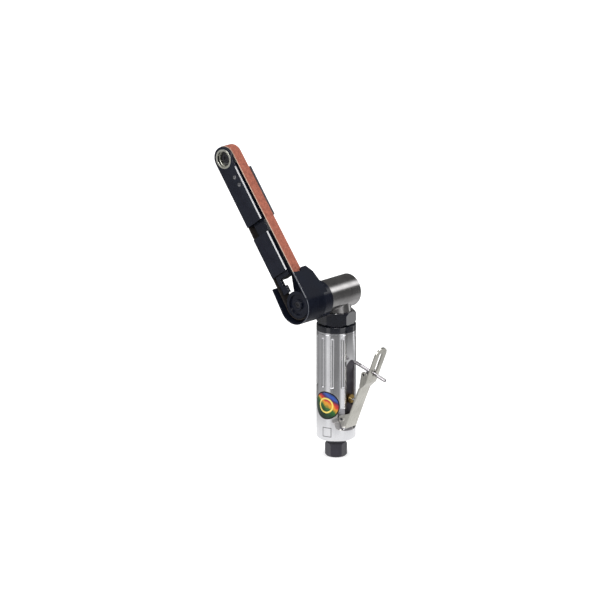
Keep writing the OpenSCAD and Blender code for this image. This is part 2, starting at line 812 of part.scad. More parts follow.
module lock_pin() {
    color(steel) lever_frame() translate([lock_pin_out, 0, lock_pin_along])
        bar_y(lock_pin_d / 2, -lever_w / 2, lever_w / 2);
}

module lock_bar() {
    bar_r = lock_bar_d / 2;
    boss_r = lock_pin_d / 2 + bar_r / 2;
    color(bright) lock_frame() difference() {
        union() {
            translate([0, 0, lock_bar_over]) {
                bar_x(bar_r, -lock_bar_in + bar_r, lock_bar_out - bar_r);
                for (x = [-lock_bar_in + bar_r, lock_bar_out - bar_r]) translate([x, 0, 0]) sphere(r = bar_r);
            }
            bar_y(boss_r, -bar_r, bar_r);
            translate([-boss_r, -bar_r, 0]) cube([2 * boss_r, 2 * bar_r, lock_bar_over]);
        }
        bar_y(lock_pin_d / 2 + run_fit, -lever_w, lever_w);
    }
}

// Small torsion spring on the lock pin beside the bar
module lock_spring() {
    wire = 0.8;
    coil_in = lock_bar_d / 2 + slide_fit;
    coil_out = lever_w / 2 - lever_t - slide_fit;
    color(steel) lever_frame() translate([lock_pin_out, 0, lock_pin_along]) difference() {
        bar_y(lock_pin_d / 2 + wire, coil_in, coil_out);
        bar_y(lock_pin_d / 2 + seat_fit, coil_in - cut, coil_out + cut);
    }
}

// Vane motor

module rear_bearing() {
    color(steel) translate([0, 0, motor_z + slide_fit])
        bearing(bearing_od, rotor_shaft_d + 2 * run_fit, bearing_w);
}

module rear_end_plate() {
    color(bronze) translate([0, 0, motor_z]) difference() {
        cylinder(h = rear_plate_h, r = motor_r - seat_fit);
        translate([0, 0, -cut])
            cylinder(h = slide_fit + bearing_w + cut, d = bearing_od + 2 * seat_fit);
        cylinder(h = rear_plate_h + cut, d = rotor_shaft_d + shaft_space);
        translate([port_x, 0, -cut]) cylinder(h = rear_plate_h + 2 * cut, d = port_d / 2);
    }
}

module motor_cylinder() {
    color(steel) translate([0, 0, rear_top]) difference() {
        cylinder(h = cylinder_len, r = motor_r - seat_fit);
        translate([-cylinder_offset, 0, -cut]) cylinder(h = cylinder_len + 2 * cut, d = cylinder_bore_d);
        for (z = [0.25, 0.5, 0.75]) translate([0, 0, z * cylinder_len])
            for (a = [150, 180, 210]) rotate([0, 0, a]) bar_x(exhaust_d / 2, rotor_d / 2, motor_r + cut);
    }
}

module front_end_plate() {
    color(bronze) translate([0, 0, cylinder_top]) difference() {
        cylinder(h = front_plate_h, r = motor_r - seat_fit);
        translate([0, 0, front_plate_h - bearing_w])
            cylinder(h = bearing_w + cut, d = bearing_od + 2 * seat_fit);
        translate([0, 0, -cut]) cylinder(h = front_plate_h, d = rotor_shaft_d + shaft_space);
    }
}

module front_bearing() {
    color(steel) translate([0, 0, front_top - bearing_w])
        bearing(bearing_od, rotor_shaft_d + 2 * run_fit, bearing_w);
}

module spacer_sleeve() {
    color(steel) translate([0, 0, front_top]) difference() {
        cylinder(h = flange_z - front_top, r = motor_r - seat_fit);
        translate([0, 0, -cut]) cylinder(h = flange_z - front_top + 2 * cut, r = motor_r - sleeve_wall);
    }
}

module rotor() {
    rotor_z = rear_top + slide_fit;
    rotor_len = cylinder_len - 2 * slide_fit;
    shaft_z = motor_z + 2 * slide_fit;
    color(steel) difference() {
        union() {
            translate([0, 0, rotor_z]) cylinder(h = rotor_len, d = rotor_d);
            translate([0, 0, shaft_z])
                cylinder(h = pinion_z - pinion_collar - shaft_z, d = rotor_shaft_d);
            translate([0, 0, shaft_z]) cylinder(h = pinion_z + pinion_face - shaft_z, d = pinion_seat_d);
        }
        for (i = [0 : vanes - 1]) rotate([0, 0, i * 360 / vanes])
            translate([rotor_d / 2 - vane_depth, -vane_t / 2 - seat_fit, rotor_z - cut])
                cube([vane_depth + cut, vane_t + 2 * seat_fit, rotor_len + 2 * cut]);
    }
}

module rotor_vanes() {
    color(bronze) translate([0, 0, rear_top + slide_fit]) for (i = [0 : vanes - 1])
        rotate([0, 0, i * 360 / vanes])
            translate([rotor_d / 2 - vane_depth + seat_fit, -vane_t / 2, 0])
                cube([vane_depth, vane_t, cylinder_len - 2 * slide_fit]);
}

module bevel_pinion() {
    color(steel) difference() {
        union() {
            translate([0, 0, pinion_z]) linear_extrude(pinion_face, scale = 1 - tooth_share)
                gear_outline(pinion_teeth, pinion_pitch_r, 90);
            translate([0, 0, pinion_z - pinion_collar])
                cylinder(h = pinion_collar, r = pinion_pitch_r - tooth_ded);
        }
        translate([0, 0, pinion_z - pinion_collar - cut])
            cylinder(h = pinion_collar + pinion_face + 2 * cut, d = pinion_seat_d + 2 * seat_fit);
    }
}

// Right-angle head

module clamp_nut() {
    bore_h = nut_top - nut_lip_h - ring_top;
    color(black) translate([0, 0, ring_top + run_fit]) difference() {
        chamfered_hex(nut_af, nut_h - run_fit, hex_turn);
        translate([0, 0, -cut]) cylinder(h = bore_h - run_fit + cut, d = spigot_d + 2 * slide_fit);
        cylinder(h = nut_h + cut, d = neck_d + 2 * slide_fit);
    }
}

module angle_head() {
    bearing_top = flange_z + slide_fit + bearing_w;
    chamber = pinion_bore_r + slide_fit;
    dome_z = nut_top + head_lift / 2;
    big_r = spindle_bearing_od / 2 + seat_fit;
    edge = 0.8;
    color(steel) difference() {
        union() {
            translate([0, 0, flange_z + run_fit]) cylinder(h = flange_h - 2 * run_fit, d = spigot_d);
            translate([0, 0, flange_z + run_fit]) cylinder(h = head_z - flange_z, d = neck_d);
            translate([0, 0, dome_z]) cylinder(h = head_z - dome_z, d1 = dome_d, d2 = neck_d - head_lift);
            translate([0, 0, head_z]) {
                bar_y(head_r, -head_front, head_back - edge);
                translate([0, head_back - edge, 0]) rotate([-90, 0, 0])
                    cylinder(h = edge, r1 = head_r, r2 = head_r - edge);
                bar_y(nose_d / 2, nose_end, 0);
            }
        }
        translate([0, 0, flange_z - cut])
            cylinder(h = bearing_top - flange_z + cut, d = bearing_od + 2 * seat_fit);
        translate([0, 0, flange_z]) cylinder(h = head_z - flange_z, r = pinion_bore_r);
        translate([0, 0, head_z]) {
            bar_y(big_r, -chamber, head_back + cut);
            bar_y(spindle_r + shaft_space, nose_end - cut, 0);
            bar_y(big_r, nose_end - cut, front_bearing_y + spindle_bearing_w);
            bar_y(big_r + clip_t / 2, clip_y - seat_fit, front_bearing_y + seat_fit);
        }
    }
}

module pinion_bearing() {
    color(steel) translate([0, 0, flange_z + slide_fit])
        bearing(bearing_od, rotor_shaft_d + 2 * run_fit, bearing_w);
}

module head_cap() {
    spanner_d = 2.4;
    color(steel) translate([0, 0, head_z]) difference() {
        bar_y(spindle_bearing_od / 2, head_back - cap_t, head_back);
        for (x = [-1, 1]) translate([x * spindle_bearing_od / 3, 0, 0])
            bar_y(spanner_d / 2, head_back - cap_t / 2, head_back + cut);
    }
}

module spindle_rear_bearing() {
    color(steel) translate([0, rear_bearing_y, head_z]) rotate([-90, 0, 0])
        bearing(spindle_bearing_od, spindle_d + 2 * run_fit, spindle_bearing_w);
}

module spindle_front_bearing() {
    color(steel) translate([0, front_bearing_y, head_z]) rotate([-90, 0, 0])
        bearing(spindle_bearing_od, spindle_d + 2 * run_fit, spindle_bearing_w);
}

module retaining_ring() {
    opening = 0.25 * spindle_bearing_od;
    color(black) translate([0, 0, head_z]) difference() {
        bar_y(spindle_bearing_od / 2 + clip_t / 2, clip_y, front_bearing_y);
        bar_y(spindle_bearing_od / 2 - clip_t, clip_y - cut, front_bearing_y + cut);
        translate([-opening / 2, clip_y - cut, 0]) cube([opening, clip_t + 2 * cut, spindle_bearing_od]);
    }
}

module spindle() {
    seat_y = wheel_back;
    end_y = wheel_front + screw_head_h + slide_fit;
    color(steel) translate([0, 0, head_z]) difference() {
        union() {
            bar_y(spindle_r, seat_y, head_back - cap_t - slide_fit);
            bar_y(spindle_r - seat_step, end_y, seat_y + cut);
        }
        bar_y(screw_d / 2 + seat_fit, end_y - cut, end_y + wheel_w);
    }
}

module bevel_gear() {
    hub_share = 0.8;
    color(steel) translate([0, 0, head_z]) difference() {
        union() {
            translate([0, pinion_pitch_r, 0]) rotate([90, 0, 0])
                linear_extrude(gear_face, scale = 1 - tooth_share)
                    gear_outline(gear_teeth, gear_pitch_r, 270 + 180 / gear_teeth);
            bar_y(hub_share * (gear_pitch_r - tooth_ded), pinion_pitch_r - cut, rear_bearing_y - slide_fit);
        }
        bar_y(spindle_r + seat_fit, 0, head_back);
    }
}

// A wheel of the belt run about the head axis, with a recess in its front
module drive_pulley() {
    rim = 3.6;
    recess = 2.4;
    boss_r = screw_head_d / 2 + recess;
    color(black) translate([0, 0, head_z]) difference() {
        bar_y(drive_r, wheel_front, wheel_back);
        difference() {
            bar_y(drive_r - rim, wheel_front - cut, wheel_front + recess);
            bar_y(boss_r, wheel_front - 2 * cut, wheel_front + recess + cut);
        }
        bar_y(screw_head_d / 2 + slide_fit, wheel_front - cut, wheel_front + screw_head_h + slide_fit);
        bar_y(spindle_r - seat_step + seat_fit, wheel_front, wheel_back + cut);
    }
}

module pulley_screw() {
    color(steel) translate([0, wheel_front + screw_head_h + slide_fit, head_z]) rotate([90, 0, 0])
        socket_screw(screw_d, screw_head_d, screw_head_h, pulley_screw_len);
}

// Belt hub and guard

module belt_hub() {
    hub_r = hub_d / 2;
    lug_y = hub_back - cut;
    lug_end = hub_front + guard_collar + cut;
    lug_p = -hub_r - lug_out;
    screw_p = -hub_r - lug_out / 2;
    color(black) arm_frame() difference() {
        union() {
            bar_y(hub_r, hub_front + guard_collar, hub_back);
            bar_y(guard_in - seat_fit, hub_front, hub_back);
            translate([lug_p, lug_end, -lug_h / 2]) cube([-lug_p - nose_d / 2, lug_y - lug_end, lug_h]);
        }
        bar_y(nose_d / 2 + run_fit, hub_inner, hub_back + cut);
        bar_y(spindle_r + shaft_space, hub_front - cut, hub_back);
        translate([lug_p - cut, hub_inner, -clamp_slot / 2])
            cube([-lug_p, hub_back + cut - hub_inner, clamp_slot]);
        translate([screw_p, (lug_y + lug_end) / 2, -lug_h])
            cylinder(h = 2 * lug_h, d = screw_d + 2 * seat_fit);
        translate([guard_in - seat_fit, hub_front - cut, -seat_fit])
            cube([hub_r, guard_reach + cut + seat_fit, hub_r]);
        arm_screw_places() translate([0, 0, -2 * (plate_t + hub_wall)])
            cylinder(h = 2 * (plate_t + hub_wall), d = fine_d + 2 * seat_fit);
        guard_screw_places() translate([0, 0, -hub_r]) cylinder(h = hub_d, d = fine_d + 2 * seat_fit);
    }
}

module hub_clamp_screw() {
    lug_mid = (hub_back + hub_front + guard_collar) / 2;
    color(steel) arm_frame() translate([-hub_d / 2 - lug_out / 2, lug_mid, lug_h / 2])
        socket_screw(screw_d, screw_head_d, screw_head_h, lug_h);
}

// Places of the screws that hold the arm's plate on the hub
module arm_screw_places() {
    for (a = [0, 120, 240]) rotate([0, a, 0]) translate([0, plate_front, arm_screw_r])
        rotate([90, 0, 0]) children();
}

// Places of the screws that hold the guard on the hub, heads outwards
module guard_screw_places() {
    for (a = [180, 225]) rotate([0, -a, 0]) translate([guard_in + guard_t, hub_front + hub_wall / 2, 0])
        rotate([0, 90, 0]) children();
}

// Front view of the guard's trough under the pulley
module guard_trough() {
    out = guard_in + guard_t;
    difference() {
        circle(r = out);
        circle(r = guard_in);
        translate([-2 * out, 0]) square([4 * out, 2 * out]);
    }
}

// Front view of the guard's wing over the return run
module guard_wing_outline() {
    out = guard_in + guard_t;
    polygon([[-out, 0], [wing_lean - out, guard_wing], [wing_lean - guard_in, guard_wing], [-guard_in, 0]]);
}

// Side view of the guard's plate over the working run
module guard_plate_outline() {
    step = guard_edge + guard_step;
    low = guard_high - guard_drop;
    corner = [for (a = [0 : 15 : 90])
        [step + guard_round * (1 - cos(a)), guard_high - guard_round * (1 - sin(a))]];
    polygon(concat([[guard_edge, 0], [guard_edge, low], [step, low - guard_dip]], corner,
                   [[hub_front, guard_high], [hub_front + guard_collar, guard_shoulder],
                    [hub_front + knee_reach, guard_knee], [hub_front + guard_reach, 0]]));
}

module belt_guard() {
    color(black) arm_frame() difference() {
        union() {
            along_y(hub_front + guard_collar, guard_edge) guard_trough();
            along_y(belt_back, guard_edge) guard_wing_outline();
            translate([guard_in, 0, 0]) rotate([90, 0, 90]) linear_extrude(guard_t) guard_plate_outline();
        }
        guard_screw_places() translate([0, 0, -guard_in]) cylinder(h = hub_d, d = fine_d + 2 * seat_fit);
    }
}

module guard_screws() {
    color(steel) arm_frame() guard_screw_places() socket_screw(fine_d, fine_head_d, fine_head_h, guard_t * 3);
}

// Telescoping arm

// The arm's core between the belt's two runs, seen along its length
module arm_section() {
    translate([-arm_left, arm_face]) square([arm_left + arm_right, plate_front + cut - arm_face]);
}

// The arm's front plate and its foot on the core, seen along its length
module face_section() {
    polygon([[-arm_left, arm_face + cut], [-arm_left, face_back], [-face_left, face_back],
             [-face_left, face_front], [face_right - arm_chamfer, face_front],
             [face_right, face_front + arm_chamfer], [face_right, face_back], [arm_right, face_back],
             [arm_right, arm_face + cut]]);
}

module lower_arm() {
    leg_low = drive_r + 2 * plate_gap;
    color(black) arm_frame() difference() {
        union() {
            along_y(hub_front, plate_front) {
                circle(r = guard_in - slide_fit);
                polygon([[-low_plate_left, arm_web + cut], [-low_plate_foot, low_plate_low],
                         [arm_right, low_plate_low], [arm_right, arm_web + cut]]);
                translate([-arm_left, arm_web]) square([arm_left + arm_right, arm_end - arm_web]);
            }
            translate([0, 0, arm_web]) linear_extrude(arm_end - arm_web) arm_section();
            translate([0, 0, face_low]) linear_extrude(arm_end - face_low) face_section();
            translate([-arm_left, arm_face, leg_low]) {
                cube([leg_w, leg_t, arm_web - leg_low + cut]);
                cube([leg_foot_w, leg_t, leg_foot_top - leg_low]);
            }
        }
        bar_y(spindle_r + shaft_space, plate_front - cut, hub_front + cut);
        translate([tongue_mid - tongue_w / 2 - slide_fit, tongue_y - tongue_d - slide_fit, channel_end])
            cube([tongue_w + 2 * slide_fit, tongue_d + 2 * slide_fit, arm_end]);
        arm_screw_places() {
            translate([0, 0, -2 * plate_t]) cylinder(h = 3 * plate_t, d = fine_d + 2 * seat_fit);
            translate([0, 0, -fine_head_h]) cylinder(h = plate_t, d = fine_head_d + 2 * seat_fit);
        }
    }
}

module arm_screws() {
    color(steel) arm_frame() arm_screw_places() translate([0, 0, -fine_head_h])
        socket_screw(fine_d, fine_head_d, fine_head_h, plate_t);
}

module tension_spring() {
    wire = 1.2;
    coil_d = tongue_d - wire;
    color(steel) arm_frame() translate([tongue_mid, tongue_y - tongue_d / 2, channel_end + seat_fit])
        difference() {
            cylinder(h = tongue_end - channel_end - 2 * seat_fit, d = coil_d);
            translate([0, 0, -cut]) cylinder(h = tongue_end, d = coil_d - 2 * wire);
        }
}

module sanding_belt() {
    color([0.66, 0.31, 0.24]) arm_frame() along_y(belt_back, belt_front) difference() {
        belt_loop(belt_t);
        belt_loop(0);
    }
}

// Places of the tracking screws on the bracket's front, heads outwards
module tracking_places() {
    upper = wheel_gap - tracking_far;
    for (i = [0, 1])
        translate([tracking_side + i * tracking_shift, face_front, upper - i * tracking_pitch])
            rotate([90, 0, 0]) children();
}

// Front view of the bracket's front plate above its chamfer
module face_end_outline() {
    low = wheel_gap - face_top - cut;
    turn = wheel_gap - sqrt(face_left * face_left - face_right * face_right);
    translate([0, wheel_gap]) circle(r = face_left);
    polygon([[-face_left, low], [face_right, low], [face_right, turn], [0, wheel_gap],
             [-face_left, wheel_gap]]);
}

module idler_bracket() {
    top = wheel_gap - bracket_top;
    color(black) arm_frame() difference() {
        union() {
            along_y(hub_front, plate_front) {
                translate([-arm_left, bracket_low]) square([arm_left + bracket_right, top - bracket_low]);
                translate([-axle_boss_r, bracket_low]) square([2 * axle_boss_r, wheel_gap - bracket_low]);
                translate([0, wheel_gap]) circle(r = axle_boss_r);
            }
            difference() {
                translate([0, 0, bracket_low]) {
                    linear_extrude(wheel_gap - bracket_low) arm_section();
                    linear_extrude(wheel_gap - face_top - bracket_low) face_section();
                }
                translate([0, 0, wheel_gap]) bar_y(idler_r + wheel_space, face_back, plate_front);
            }
            along_y(face_back, face_front) face_end_outline();
            translate([tongue_mid - tongue_w / 2, tongue_y - tongue_d, tongue_end])
                cube([tongue_w, tongue_d, bracket_low - tongue_end + cut]);
        }
        translate([0, 0, wheel_gap]) {
            bar_y(idler_axle_d / 2 + seat_fit, plate_front - cut, hub_front + cut);
            bar_y(eye_d / 2 + seat_fit, face_front - cut, face_back + cut);
        }
        tracking_places() {
            translate([0, 0, -belt_w / 2]) cylinder(h = belt_w, d = fine_d + 2 * seat_fit);
            translate([0, 0, -fine_head_h]) cylinder(h = belt_w, d = fine_head_d + 2 * seat_fit);
        }
    }
}

module idler_eye() {
    front = face_front - eye_out;
    color(steel) arm_frame() translate([0, 0, wheel_gap]) difference() {
        bar_y(eye_d / 2, front, face_back);
        bar_y(eye_bore / 2, front - cut, face_back + cut);
    }
}

module tracking_screws() {
    color(steel) arm_frame() tracking_places() translate([0, 0, -fine_head_h])
        socket_screw(fine_d, fine_head_d, fine_head_h, belt_w / 2 - fine_head_h - seat_fit);
}

module idler_axle() {
    collar_r = idler_axle_d / 2 + seat_step;
    bearing_y = wheel_back - plate_gap - slide_fit;
    end_y = wheel_front + screw_head_h + 2 * slide_fit;
    color(steel) arm_frame() translate([0, 0, wheel_gap]) difference() {
        union() {
            bar_y(idler_axle_d / 2, end_y, hub_front);
            bar_y(collar_r, bearing_y + slide_fit, plate_front);
        }
        bar_y(screw_d / 2 + seat_fit, end_y - cut, wheel_back);
    }
}

module axle_screw() {
    end_y = wheel_front + screw_head_h + 2 * slide_fit;
    color(steel) arm_frame() translate([0, end_y, wheel_gap]) rotate([90, 0, 0])
        socket_screw(screw_d, idler_axle_d + screw_d / 2, screw_head_h, axle_screw_len);
}

module idler_wheel() {
    color(steel) arm_frame() translate([0, 0, wheel_gap]) difference() {
        bar_y(idler_r, wheel_front, wheel_back);
        bar_y(idler_bearing_od / 2 + seat_fit, wheel_front - cut, wheel_back + cut);
    }
}

module idler_bearings() {
    first = wheel_back - plate_gap - slide_fit;
    color(steel) arm_frame() translate([0, 0, wheel_gap])
        for (i = [0, 1]) translate([0, first - i * (idler_bearing_w + slide_fit), 0]) rotate([90, 0, 0])
            bearing(idler_bearing_od, idler_axle_d + 2 * run_fit, idler_bearing_w);
}

barrel_housing();
inlet_bushing();
inlet_seal();
inlet_screen();
lock_ring();
valve_bush();
valve_stem();
valve_seal();
valve_spring();
lever_pin();
throttle_lever();
lock_pin();
lock_bar();
lock_spring();
rear_bearing();
rear_end_plate();
motor_cylinder();
front_end_plate();
front_bearing();
spacer_sleeve();
rotor();
rotor_vanes();
bevel_pinion();
clamp_nut();
angle_head();
pinion_bearing();
head_cap();
spindle_rear_bearing();
spindle_front_bearing();
retaining_ring();
spindle();
bevel_gear();
drive_pulley();
pulley_screw();
belt_hub();
hub_clamp_screw();
belt_guard();
guard_screws();
lower_arm();
arm_screws();
tension_spring();
sanding_belt();
idler_bracket();
idler_eye();
tracking_screws();
idler_axle();
axle_screw();
idler_wheel();
idler_bearings();
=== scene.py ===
import json
import math

import bpy
from mathutils import Matrix, Vector


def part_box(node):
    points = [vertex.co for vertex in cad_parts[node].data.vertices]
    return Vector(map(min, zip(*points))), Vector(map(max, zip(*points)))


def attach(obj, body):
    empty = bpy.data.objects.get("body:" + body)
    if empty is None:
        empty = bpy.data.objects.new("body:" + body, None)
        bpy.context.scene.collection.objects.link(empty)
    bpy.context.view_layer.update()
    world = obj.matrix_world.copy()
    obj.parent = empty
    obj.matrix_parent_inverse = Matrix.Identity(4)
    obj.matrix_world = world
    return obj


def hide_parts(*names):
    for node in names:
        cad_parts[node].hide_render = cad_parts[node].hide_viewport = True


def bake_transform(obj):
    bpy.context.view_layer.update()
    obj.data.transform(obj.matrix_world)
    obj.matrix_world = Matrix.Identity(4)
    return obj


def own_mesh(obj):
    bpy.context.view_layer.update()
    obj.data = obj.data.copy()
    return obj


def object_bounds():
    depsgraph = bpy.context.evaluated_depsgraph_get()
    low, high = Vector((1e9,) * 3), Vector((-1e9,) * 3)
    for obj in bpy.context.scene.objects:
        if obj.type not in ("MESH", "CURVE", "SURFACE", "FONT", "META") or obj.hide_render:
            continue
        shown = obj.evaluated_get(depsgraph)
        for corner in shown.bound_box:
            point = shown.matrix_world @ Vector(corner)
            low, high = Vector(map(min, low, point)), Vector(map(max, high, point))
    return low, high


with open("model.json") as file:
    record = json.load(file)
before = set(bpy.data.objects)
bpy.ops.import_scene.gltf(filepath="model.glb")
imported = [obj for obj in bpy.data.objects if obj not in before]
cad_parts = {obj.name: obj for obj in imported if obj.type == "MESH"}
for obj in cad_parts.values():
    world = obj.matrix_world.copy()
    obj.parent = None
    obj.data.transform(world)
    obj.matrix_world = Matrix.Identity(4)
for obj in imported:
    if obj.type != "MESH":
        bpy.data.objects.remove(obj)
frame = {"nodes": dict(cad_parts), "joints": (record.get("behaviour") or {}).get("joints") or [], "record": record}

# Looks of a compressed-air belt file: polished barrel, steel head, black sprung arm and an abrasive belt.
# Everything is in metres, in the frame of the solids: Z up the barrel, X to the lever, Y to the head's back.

cad_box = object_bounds()
MM = 0.001
record = frame["record"]
body_of = {node: body for body, nodes in record["behaviour"]["bodies"].items() for node in nodes}
joint_of = {joint["name"]: joint for joint in frame["joints"]}


# Places and directions in the frame

def middle(node):
    """Centre of a node's box."""
    low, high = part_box(node)
    return (low + high) / 2


def size(node):
    """Lengths of a node's box along X, Y and Z."""
    low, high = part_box(node)
    return high - low


ARM_ALONG = Vector(joint_of["tension_slide"]["axis"]).normalized()
ARM_TILT = math.atan2(-ARM_ALONG.x, ARM_ALONG.z)
ARM_ACROSS = Vector((ARM_ALONG.z, 0, -ARM_ALONG.x))
DRIVE_CENTRE = Vector(joint_of["arm_swivel"]["pos_m"])
IDLER_CENTRE = Vector(joint_of["idler_spin"]["pos_m"])
WHEEL_GAP = (IDLER_CENTRE - DRIVE_CENTRE).length
BARREL_R = size("lock_ring").x / 2
LEVER_PIN = middle("lever_pin")
# The lever stands off from the barrel more and more towards its upper end, by this angle
LEVER_LEAN = math.radians(22)
LEVER_OUT = Vector((math.cos(LEVER_LEAN), 0, -math.sin(LEVER_LEAN)))
FRONT = Vector((0, -1, 0))
# Turn that makes a level circle stand up and face the front
UPRIGHT = (math.pi / 2, 0, 0)


# Working with meshes

# Points of a copied mesh that lie closer than this are merged, and faces that differ by less than this angle
MERGE_GAP = 0.002 * MM
FLAT_ANGLE = math.radians(0.5)
# Angles from which an edge is sharp: in the shading, in that of coils, for bevels, for those of thin pieces
SHARP_DEGREES = 35
COIL_SHARP_DEGREES = 50
BEVEL_ANGLE = math.radians(32)
THIN_BEVEL_ANGLE = math.radians(40)
# How much the shading follows a piece's large faces
FLAT_WEIGHT = 80
# Cosine from which two directions are the same, and length from which an edge is long
SAME_WAY = 0.999
LONG_EDGE = 4 * MM


def start_fresh():
    """Deselects everything, so that an operator acts on the new piece alone."""
    if bpy.context.object and bpy.context.object.mode != "OBJECT":
        bpy.ops.object.mode_set(mode="OBJECT")
    bpy.ops.object.select_all(action="DESELECT")


def take(piece):
    """Makes a piece the only selected one, and the active one."""
    start_fresh()
    piece.select_set(True)
    bpy.context.view_layer.objects.active = piece


def settle(piece):
    """Puts a piece's place into its mesh, so that its object sits at the origin."""
    take(piece)
    bpy.ops.object.transform_apply(location=True, rotation=True, scale=True)


def add_modifier(piece, kind, **settings):
    """Adds a modifier with its settings and applies it."""
    take(piece)
    modifier = piece.modifiers.new(kind.lower(), kind)
    for name, value in settings.items():
        setattr(modifier, name, value)
    bpy.ops.object.modifier_apply(modifier=modifier.name)


def smooth(piece, degrees=SHARP_DEGREES):
    """Shades a piece smooth except along its sharp edges, with flat faces kept flat."""
    take(piece)
    bpy.ops.object.shade_smooth_by_angle(angle=math.radians(degrees))
    add_modifier(piece, "WEIGHTED_NORMAL", keep_sharp=True, weight=FLAT_WEIGHT)


def paint(piece, *materials):
    """Gives a piece its materials, in the order of its face groups."""
    piece.data.materials.clear()
    for material in materials:
        piece.data.materials.append(material)


def mount(piece, node, replaced=True):
    """Lets a piece ride with a node's body and, where it stands for the node, replace it."""
    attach(piece, body_of[node])
    if replaced:
        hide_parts(node)


def open_mesh(piece):
    """Opens a piece's mesh for editing, with all of it selected."""
    take(piece)
    bpy.ops.object.mode_set(mode="EDIT")
    bpy.ops.mesh.select_all(action="SELECT")


def face_outwards(piece):
    """Turns a piece's faces to one side, outwards where it is closed."""
    open_mesh(piece)
    bpy.ops.mesh.normals_make_consistent(inside=False)
    bpy.ops.object.mode_set(mode="OBJECT")


def merged_copy(node, *materials):
    """A copy of a node's mesh with its doubled points and its flat facets merged."""
    piece = bpy.data.objects.new(node + ".finished", frame["nodes"][node].data.copy())
    bpy.context.scene.collection.objects.link(piece)
    paint(piece, *materials)
    open_mesh(piece)
    bpy.ops.mesh.remove_doubles(threshold=MERGE_GAP)
    bpy.ops.mesh.dissolve_limited(angle_limit=FLAT_ANGLE)
    bpy.ops.object.mode_set(mode="OBJECT")
    for face in piece.data.polygons:
        face.material_index = 0
    return piece


def bevel_where(piece, wanted, width, steps, material=0):
    """Bevels those edges of a piece that are wanted by the normals of their faces and by their length."""
    edge_faces = {}
    for face in piece.data.polygons:
        for key in face.edge_keys:
            edge_faces.setdefault(key, []).append(face.normal)
    take(piece)
    bpy.ops.object.mode_set(mode="EDIT")
    bpy.ops.mesh.select_mode(type="EDGE")
    bpy.ops.mesh.select_all(action="DESELECT")
    bpy.ops.object.mode_set(mode="OBJECT")
    for edge in piece.data.edges:
        ends = [piece.data.vertices[index].co for index in edge.vertices]
        edge.select = wanted(edge_faces[edge.key], (ends[0] - ends[1]).length)
    bpy.ops.object.mode_set(mode="EDIT")
    bpy.ops.mesh.bevel(offset=width, segments=steps, affect="EDGES", clamp_overlap=False, material=material)
    bpy.ops.mesh.select_mode(type="VERT")
    bpy.ops.object.mode_set(mode="OBJECT")


def long_edge(first, second):
    """A test for the long edges between two faces that look along two directions."""

    def wanted(normals, length):
        meets = [any(normal.dot(way) > SAME_WAY for normal in normals) for way in (first, second)]
        return length > LONG_EDGE and all(meets)

    return wanted


def soften_edges(piece, width, steps, angle, material=-1):
    """Bevels a piece's edges that are sharper than an angle; the new faces may take one of its materials."""
    add_modifier(piece, "BEVEL", width=width, segments=steps, limit_method="ANGLE", angle_limit=angle,
                 material=material)


def round_off(piece, node, edge):
    """Rounds a piece's edges with its last material, smooths it and lets it stand for its node."""
    soften_edges(piece, edge, steps=2, angle=BEVEL_ANGLE, material=len(piece.data.materials) - 1)
    smooth(piece)
    mount(piece, node)
    return piece


def finished_copy(node, edge, *materials):
    """A merged copy of a node with all its edges rounded."""
    return round_off(merged_copy(node, *materials), node, edge)


# Shader nodes, and the groups that several finishes share

def add_node(tree, kind, links=(), **settings):
    """Adds a node, sets its properties and plugs in its inputs: values, or other nodes' outputs."""
    node = tree.nodes.new(kind)
    for name, value in settings.items():
        setattr(node, name, value)
    for socket, value in dict(links).items():
        if isinstance(value, bpy.types.NodeSocket):
            tree.links.new(value, node.inputs[socket])
        else:
            node.inputs[socket].default_value = value
    return node


def object_place(tree):
    """Place of a point on its object."""
    return add_node(tree, "ShaderNodeTexCoord").outputs["Object"]


def calc(tree, operation, *values):
    """Result of a maths node."""
    return add_node(tree, "ShaderNodeMath", enumerate(values), operation=operation).outputs[0]


def vector_calc(tree, operation, *values):
    """Result of a vector maths node: a number for lengths and products of two vectors, otherwise a vector."""
    node = add_node(tree, "ShaderNodeVectorMath", enumerate(values), operation=operation)
    return node.outputs["Value" if operation in ("DOT_PRODUCT", "LENGTH") else "Vector"]


def noise(tree, place, scale, detail, roughness=0.5):
    """Cloudy noise."""
    links = {"Vector": place, "Scale": scale, "Detail": detail, "Roughness": roughness}
    return add_node(tree, "ShaderNodeTexNoise", links).outputs["Fac"]


def sharpen(tree, value, low, high):
    """Stretches a value so that low becomes 0 and high becomes 1."""
    links = {"Value": value, "From Min": low, "From Max": high}
    return add_node(tree, "ShaderNodeMapRange", links).outputs["Result"]


def band(tree, value, centre, half, soft):
    """1 near a centre, falling softly to 0 past a half width."""
    off = calc(tree, "ABSOLUTE", calc(tree, "SUBTRACT", value, centre))
    links = {"Value": off, "From Min": half, "From Max": half + soft, "To Min": 1.0, "To Max": 0.0}
    return add_node(tree, "ShaderNodeMapRange", links, interpolation_type="SMOOTHSTEP").outputs["Result"]


def new_group(name, inputs, outputs):
    """An empty shader group with named number or vector inputs and number outputs."""
    group = bpy.data.node_groups.new(name, "ShaderNodeTree")
    for socket, value in inputs.items():
        kind = "NodeSocketFloat" if isinstance(value, (int, float)) else "NodeSocketVector"
        group.interface.new_socket(socket, in_out="INPUT", socket_type=kind).default_value = value
    for socket in outputs:
        group.interface.new_socket(socket, in_out="OUTPUT", socket_type="NodeSocketFloat")
    return group, group.nodes.new("NodeGroupInput").outputs, group.nodes.new("NodeGroupOutput").inputs


def smudge_group():
    """Soft patches, as finger marks and oil leave on metal."""
    group, given, out = new_group("smudges", {"Scale": 60.0}, ["Mask"])
    cloud = noise(group, object_place(group), given["Scale"], detail=5.0, roughness=0.6)
    group.links.new(sharpen(group, cloud, low=0.36, high=0.66), out["Mask"])
    return group


